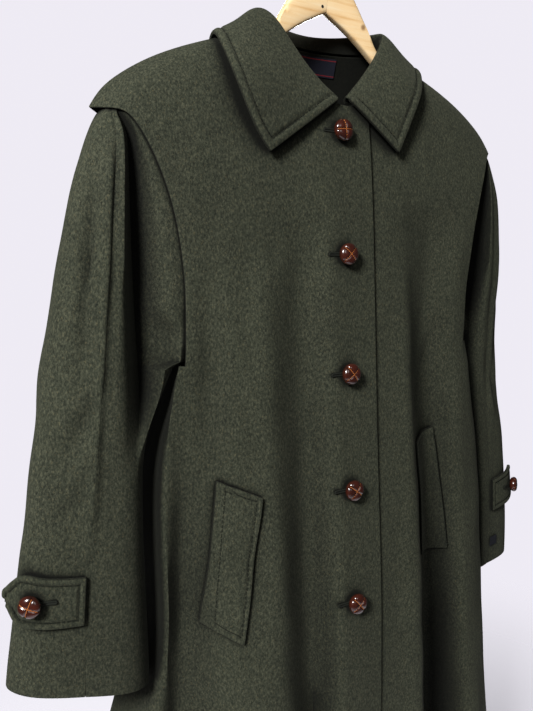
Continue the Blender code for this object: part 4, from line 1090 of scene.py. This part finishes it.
def tape(name, colour, stripes=()):
    """Woven tape. Each stripe is a height, a half width and a colour."""
    made, shader = new_material(name)
    weave = node(made, "ShaderNodeTexChecker", Scale=1600.0)
    weave.inputs["Color1"].default_value = (*colour, 1.0)
    weave.inputs["Color2"].default_value = (*(1.7 * c for c in colour), 1.0)
    link(made, stretched(made), weave.inputs["Vector"])
    shown = weave.outputs["Color"]
    parts = node(made, "ShaderNodeSeparateXYZ")
    link(made, stretched(made), parts.inputs["Vector"])
    for height, half, stripe in stripes:
        near = node(made, "ShaderNodeMath", operation="COMPARE")
        near.inputs[1].default_value = height
        near.inputs[2].default_value = half
        link(made, parts.outputs["Z"], near.inputs[0])
        shown = mixed(made, near.outputs[0], shown, stripe)
    link(made, shown, shader.inputs["Base Color"])
    set_inputs(shader, Roughness=0.8, Specular_IOR_Level=0.2)
    bump(made, shader, weave.outputs["Fac"], 0.0002, 0.4)
    return made


label_low, label_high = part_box("neck_label")
label_tape = tape("label_tape", LABEL_NAVY,
                  [(label_low[2] + LABEL_LINES, LABEL_LINE_WIDTH, LABEL_RED),
                   (label_high[2] - LABEL_LINES, LABEL_LINE_WIDTH, LABEL_RED)])
tab_tape = tape("tab_tape", TAB_DARK)
neck_label, _ = cloth_from("neck_label", "coat_neck_label", 0.0002, 2)
hand_over(neck_label, label_tape, "woven label", "neck_label")
cuff_tab, _ = cloth_from("cuff_tab", "coat_cuff_tab", 0.0002, 3)
hand_over(cuff_tab, tab_tape, "woven label", "cuff_tab")
print("label", round(half_surface(neck_label), 5), "tab", round(half_surface(cuff_tab), 6))

# %% [markdown]
# The hanger's arms are sawn from a light board, rounded on all edges, glued at a mitre and
# varnished. Their grain runs down each arm, so the coordinates are folded at the mitre and
# tilted. A small knot and a dark screw hole are on the front. A dark disc, set flush with the
# wood, is painted shade for the inside of the hole.

# %% Wood
WOOD_LIGHT = (0.97, 0.69, 0.37)
WOOD_DARK = (0.80, 0.48, 0.20)
WOOD_PALE = (1.0, 0.79, 0.49)
WOOD_SCALE = (5.0, 60.0, 95.0)     # streaks are long down the arm and narrow across it
ARM_SLOPE = 0.55
KNOT_PLACE = (0.052, -0.006, -0.108)
KNOT_RADII = (0.0015, 0.0050)      # of its dark core and of its soft rim
KNOT_BROWN = (0.20, 0.08, 0.025)

wood, shader = new_material("varnished_wood")
folded = node(wood, "ShaderNodeVectorMath", operation="ABSOLUTE")
link(wood, stretched(wood), folded.inputs[0])
tilt = node(wood, "ShaderNodeMapping", Rotation=(0.0, -ARM_SLOPE, 0.0), Scale=WOOD_SCALE)
link(wood, folded.outputs["Vector"], tilt.inputs["Vector"])
streaks = noise(wood, tilt.outputs["Vector"], 1.6, 5.0, 0.62)
board = ramp_node(wood, [(0.30, WOOD_DARK), (0.48, WOOD_LIGHT), (0.72, WOOD_PALE)])
link(wood, streaks, board.inputs["Fac"])
knot_distance = node(wood, "ShaderNodeVectorMath", operation="DISTANCE")
link(wood, stretched(wood), knot_distance.inputs[0])
knot_distance.inputs[1].default_value = KNOT_PLACE
knot = node(wood, "ShaderNodeMapRange", interpolation_type="SMOOTHSTEP",
            From_Min=KNOT_RADII[0], From_Max=KNOT_RADII[1], To_Min=0.75, To_Max=0.0)
link(wood, knot_distance.outputs["Value"], knot.inputs["Value"])
link(wood, mixed(wood, knot.outputs["Result"], board.outputs["Color"], KNOT_BROWN),
     shader.inputs["Base Color"])
set_inputs(shader, Roughness=0.38, Coat_Weight=0.6, Coat_Roughness=0.15)
bump(wood, shader, streaks, 0.0002, 0.3)

# %% Hanger arms
for label in ("right", "left"):
    arm = merged_copy("hanger_arm_" + label, "wooden_arm_" + label)
    select_sharp(arm)
    bpy.ops.transform.edge_crease(value=1.0)
    bpy.ops.object.mode_set(mode="OBJECT")
    subdivide_smooth(arm, 2)
    hand_over(arm, wood, "varnished wood", "hanger_arm_" + label)
    print(arm.name, len(arm.data.polygons), "faces")

# %% Screw hole
SCREW_RADIUS = 0.0017
SCREW_SINK = 0.0002            # the disc's middle lies this far under the wood
SCREW_PLACE = (-0.0060, -0.0200, -0.0965)

arm_surface = tree_of(bpy.data.objects["wooden_arm_right"])
seat, seat_normal, _, _ = arm_surface.find_nearest(Vector(SCREW_PLACE))
bpy.ops.object.select_all(action="DESELECT")
bpy.ops.mesh.primitive_cylinder_add(vertices=24, radius=SCREW_RADIUS, depth=0.0008)
screw_hole = bpy.context.object
screw_hole.name = "screw_hole"
flush = seat - SCREW_SINK * seat_normal
screw_hole.data.transform(frame_matrix(flush, Vector((1, 0, 0)), seat_normal))
# painted shade: the dark disc stands for the shade inside the screw hole
hand_over(screw_hole, painted_hole_shade, "varnished wood")
print("screw hole", [round(value, 4) for value in seat])

# %% [markdown]
# The hook is one piece of bright wire. A circle is turned through the hook's curve with
# spin, and its lower end is drawn down into the wood. The free end is drawn in a little and
# closed.

# %% Steel
steel, shader = new_material("hook_steel")
set_inputs(shader, Metallic=1.0, Base_Color=(0.62, 0.62, 0.63, 1.0))
wear = ramp_node(steel, [(0.35, (0.16, 0.16, 0.16)), (0.70, (0.34, 0.34, 0.34))])
link(steel, noise(steel, stretched(steel), 160.0, 4.0, 0.6), wear.inputs["Fac"])
link(steel, wear.outputs["Color"], shader.inputs["Roughness"])

# %% Hook
WIRE_RADIUS = 0.0020
HOOK_RADIUS = 0.0220
HOOK_CENTRE = -0.0200
HOOK_DEPTH = 0.0020
HOOK_FROM = radians(-58)
HOOK_TURN = radians(252)
HOOK_STEPS = 42
HOOK_END = 0.72                # width of the closed free end, as a share of the wire's
SHANK = ((0.0022, -0.0432), (0.0004, -0.0465), (0.0, -0.0520))

bpy.ops.object.select_all(action="DESELECT")
start = Vector((HOOK_RADIUS * cos(HOOK_FROM), HOOK_DEPTH,
                HOOK_CENTRE + HOOK_RADIUS * sin(HOOK_FROM)))
tangent = Vector((-sin(HOOK_FROM), 0.0, cos(HOOK_FROM)))
bpy.ops.mesh.primitive_circle_add(vertices=16, radius=WIRE_RADIUS)
hook = bpy.context.object
hook.name = "wire_hook"
facing = tangent.to_track_quat("Z", "Y").to_matrix().to_4x4()
hook.data.transform(Matrix.Translation(start) @ facing)
bpy.ops.object.mode_set(mode="EDIT")
bpy.ops.mesh.select_all(action="SELECT")
bpy.ops.mesh.spin(steps=HOOK_STEPS, angle=HOOK_TURN, center=(0.0, HOOK_DEPTH, HOOK_CENTRE),
                  axis=(0.0, 1.0, 0.0))
bpy.ops.mesh.extrude_region_move()
bpy.ops.transform.resize(value=(HOOK_END, HOOK_END, HOOK_END))
bpy.ops.mesh.edge_face_add()
bpy.ops.object.mode_set(mode="OBJECT")
print("hook", [round(float(v), 4) for v in points_of(hook).min(axis=0)],
      [round(float(v), 4) for v in points_of(hook).max(axis=0)])

# %% Shank
def on_start_ring(place):
    """Whether a place is on the open ring where the hook's curve begins."""
    off = place - start
    return abs(off.dot(tangent)) < MERGE * 5 and off.length < 1.2 * WIRE_RADIUS


edit_places(hook, on_start_ring)
here = start.copy()
for shank_x, shank_z in SHANK:
    there = Vector((shank_x, HOOK_DEPTH, shank_z))
    bpy.ops.mesh.extrude_region_move(TRANSFORM_OT_translate={"value": there - here})
    here = there
bpy.ops.mesh.edge_face_add()
bpy.ops.mesh.select_all(action="SELECT")
bpy.ops.mesh.normals_make_consistent(inside=False)
bpy.ops.object.mode_set(mode="OBJECT")
hand_over(hook, steel, "hook steel", "hanger_hook")
print("hook with shank", len(hook.data.polygons), "faces")

# %% [markdown]

# %% Take the models away
for model in (stitch, button_stitch):
    bpy.data.objects.remove(model, do_unlink=True)
bpy.ops.object.select_all(action="DESELECT")
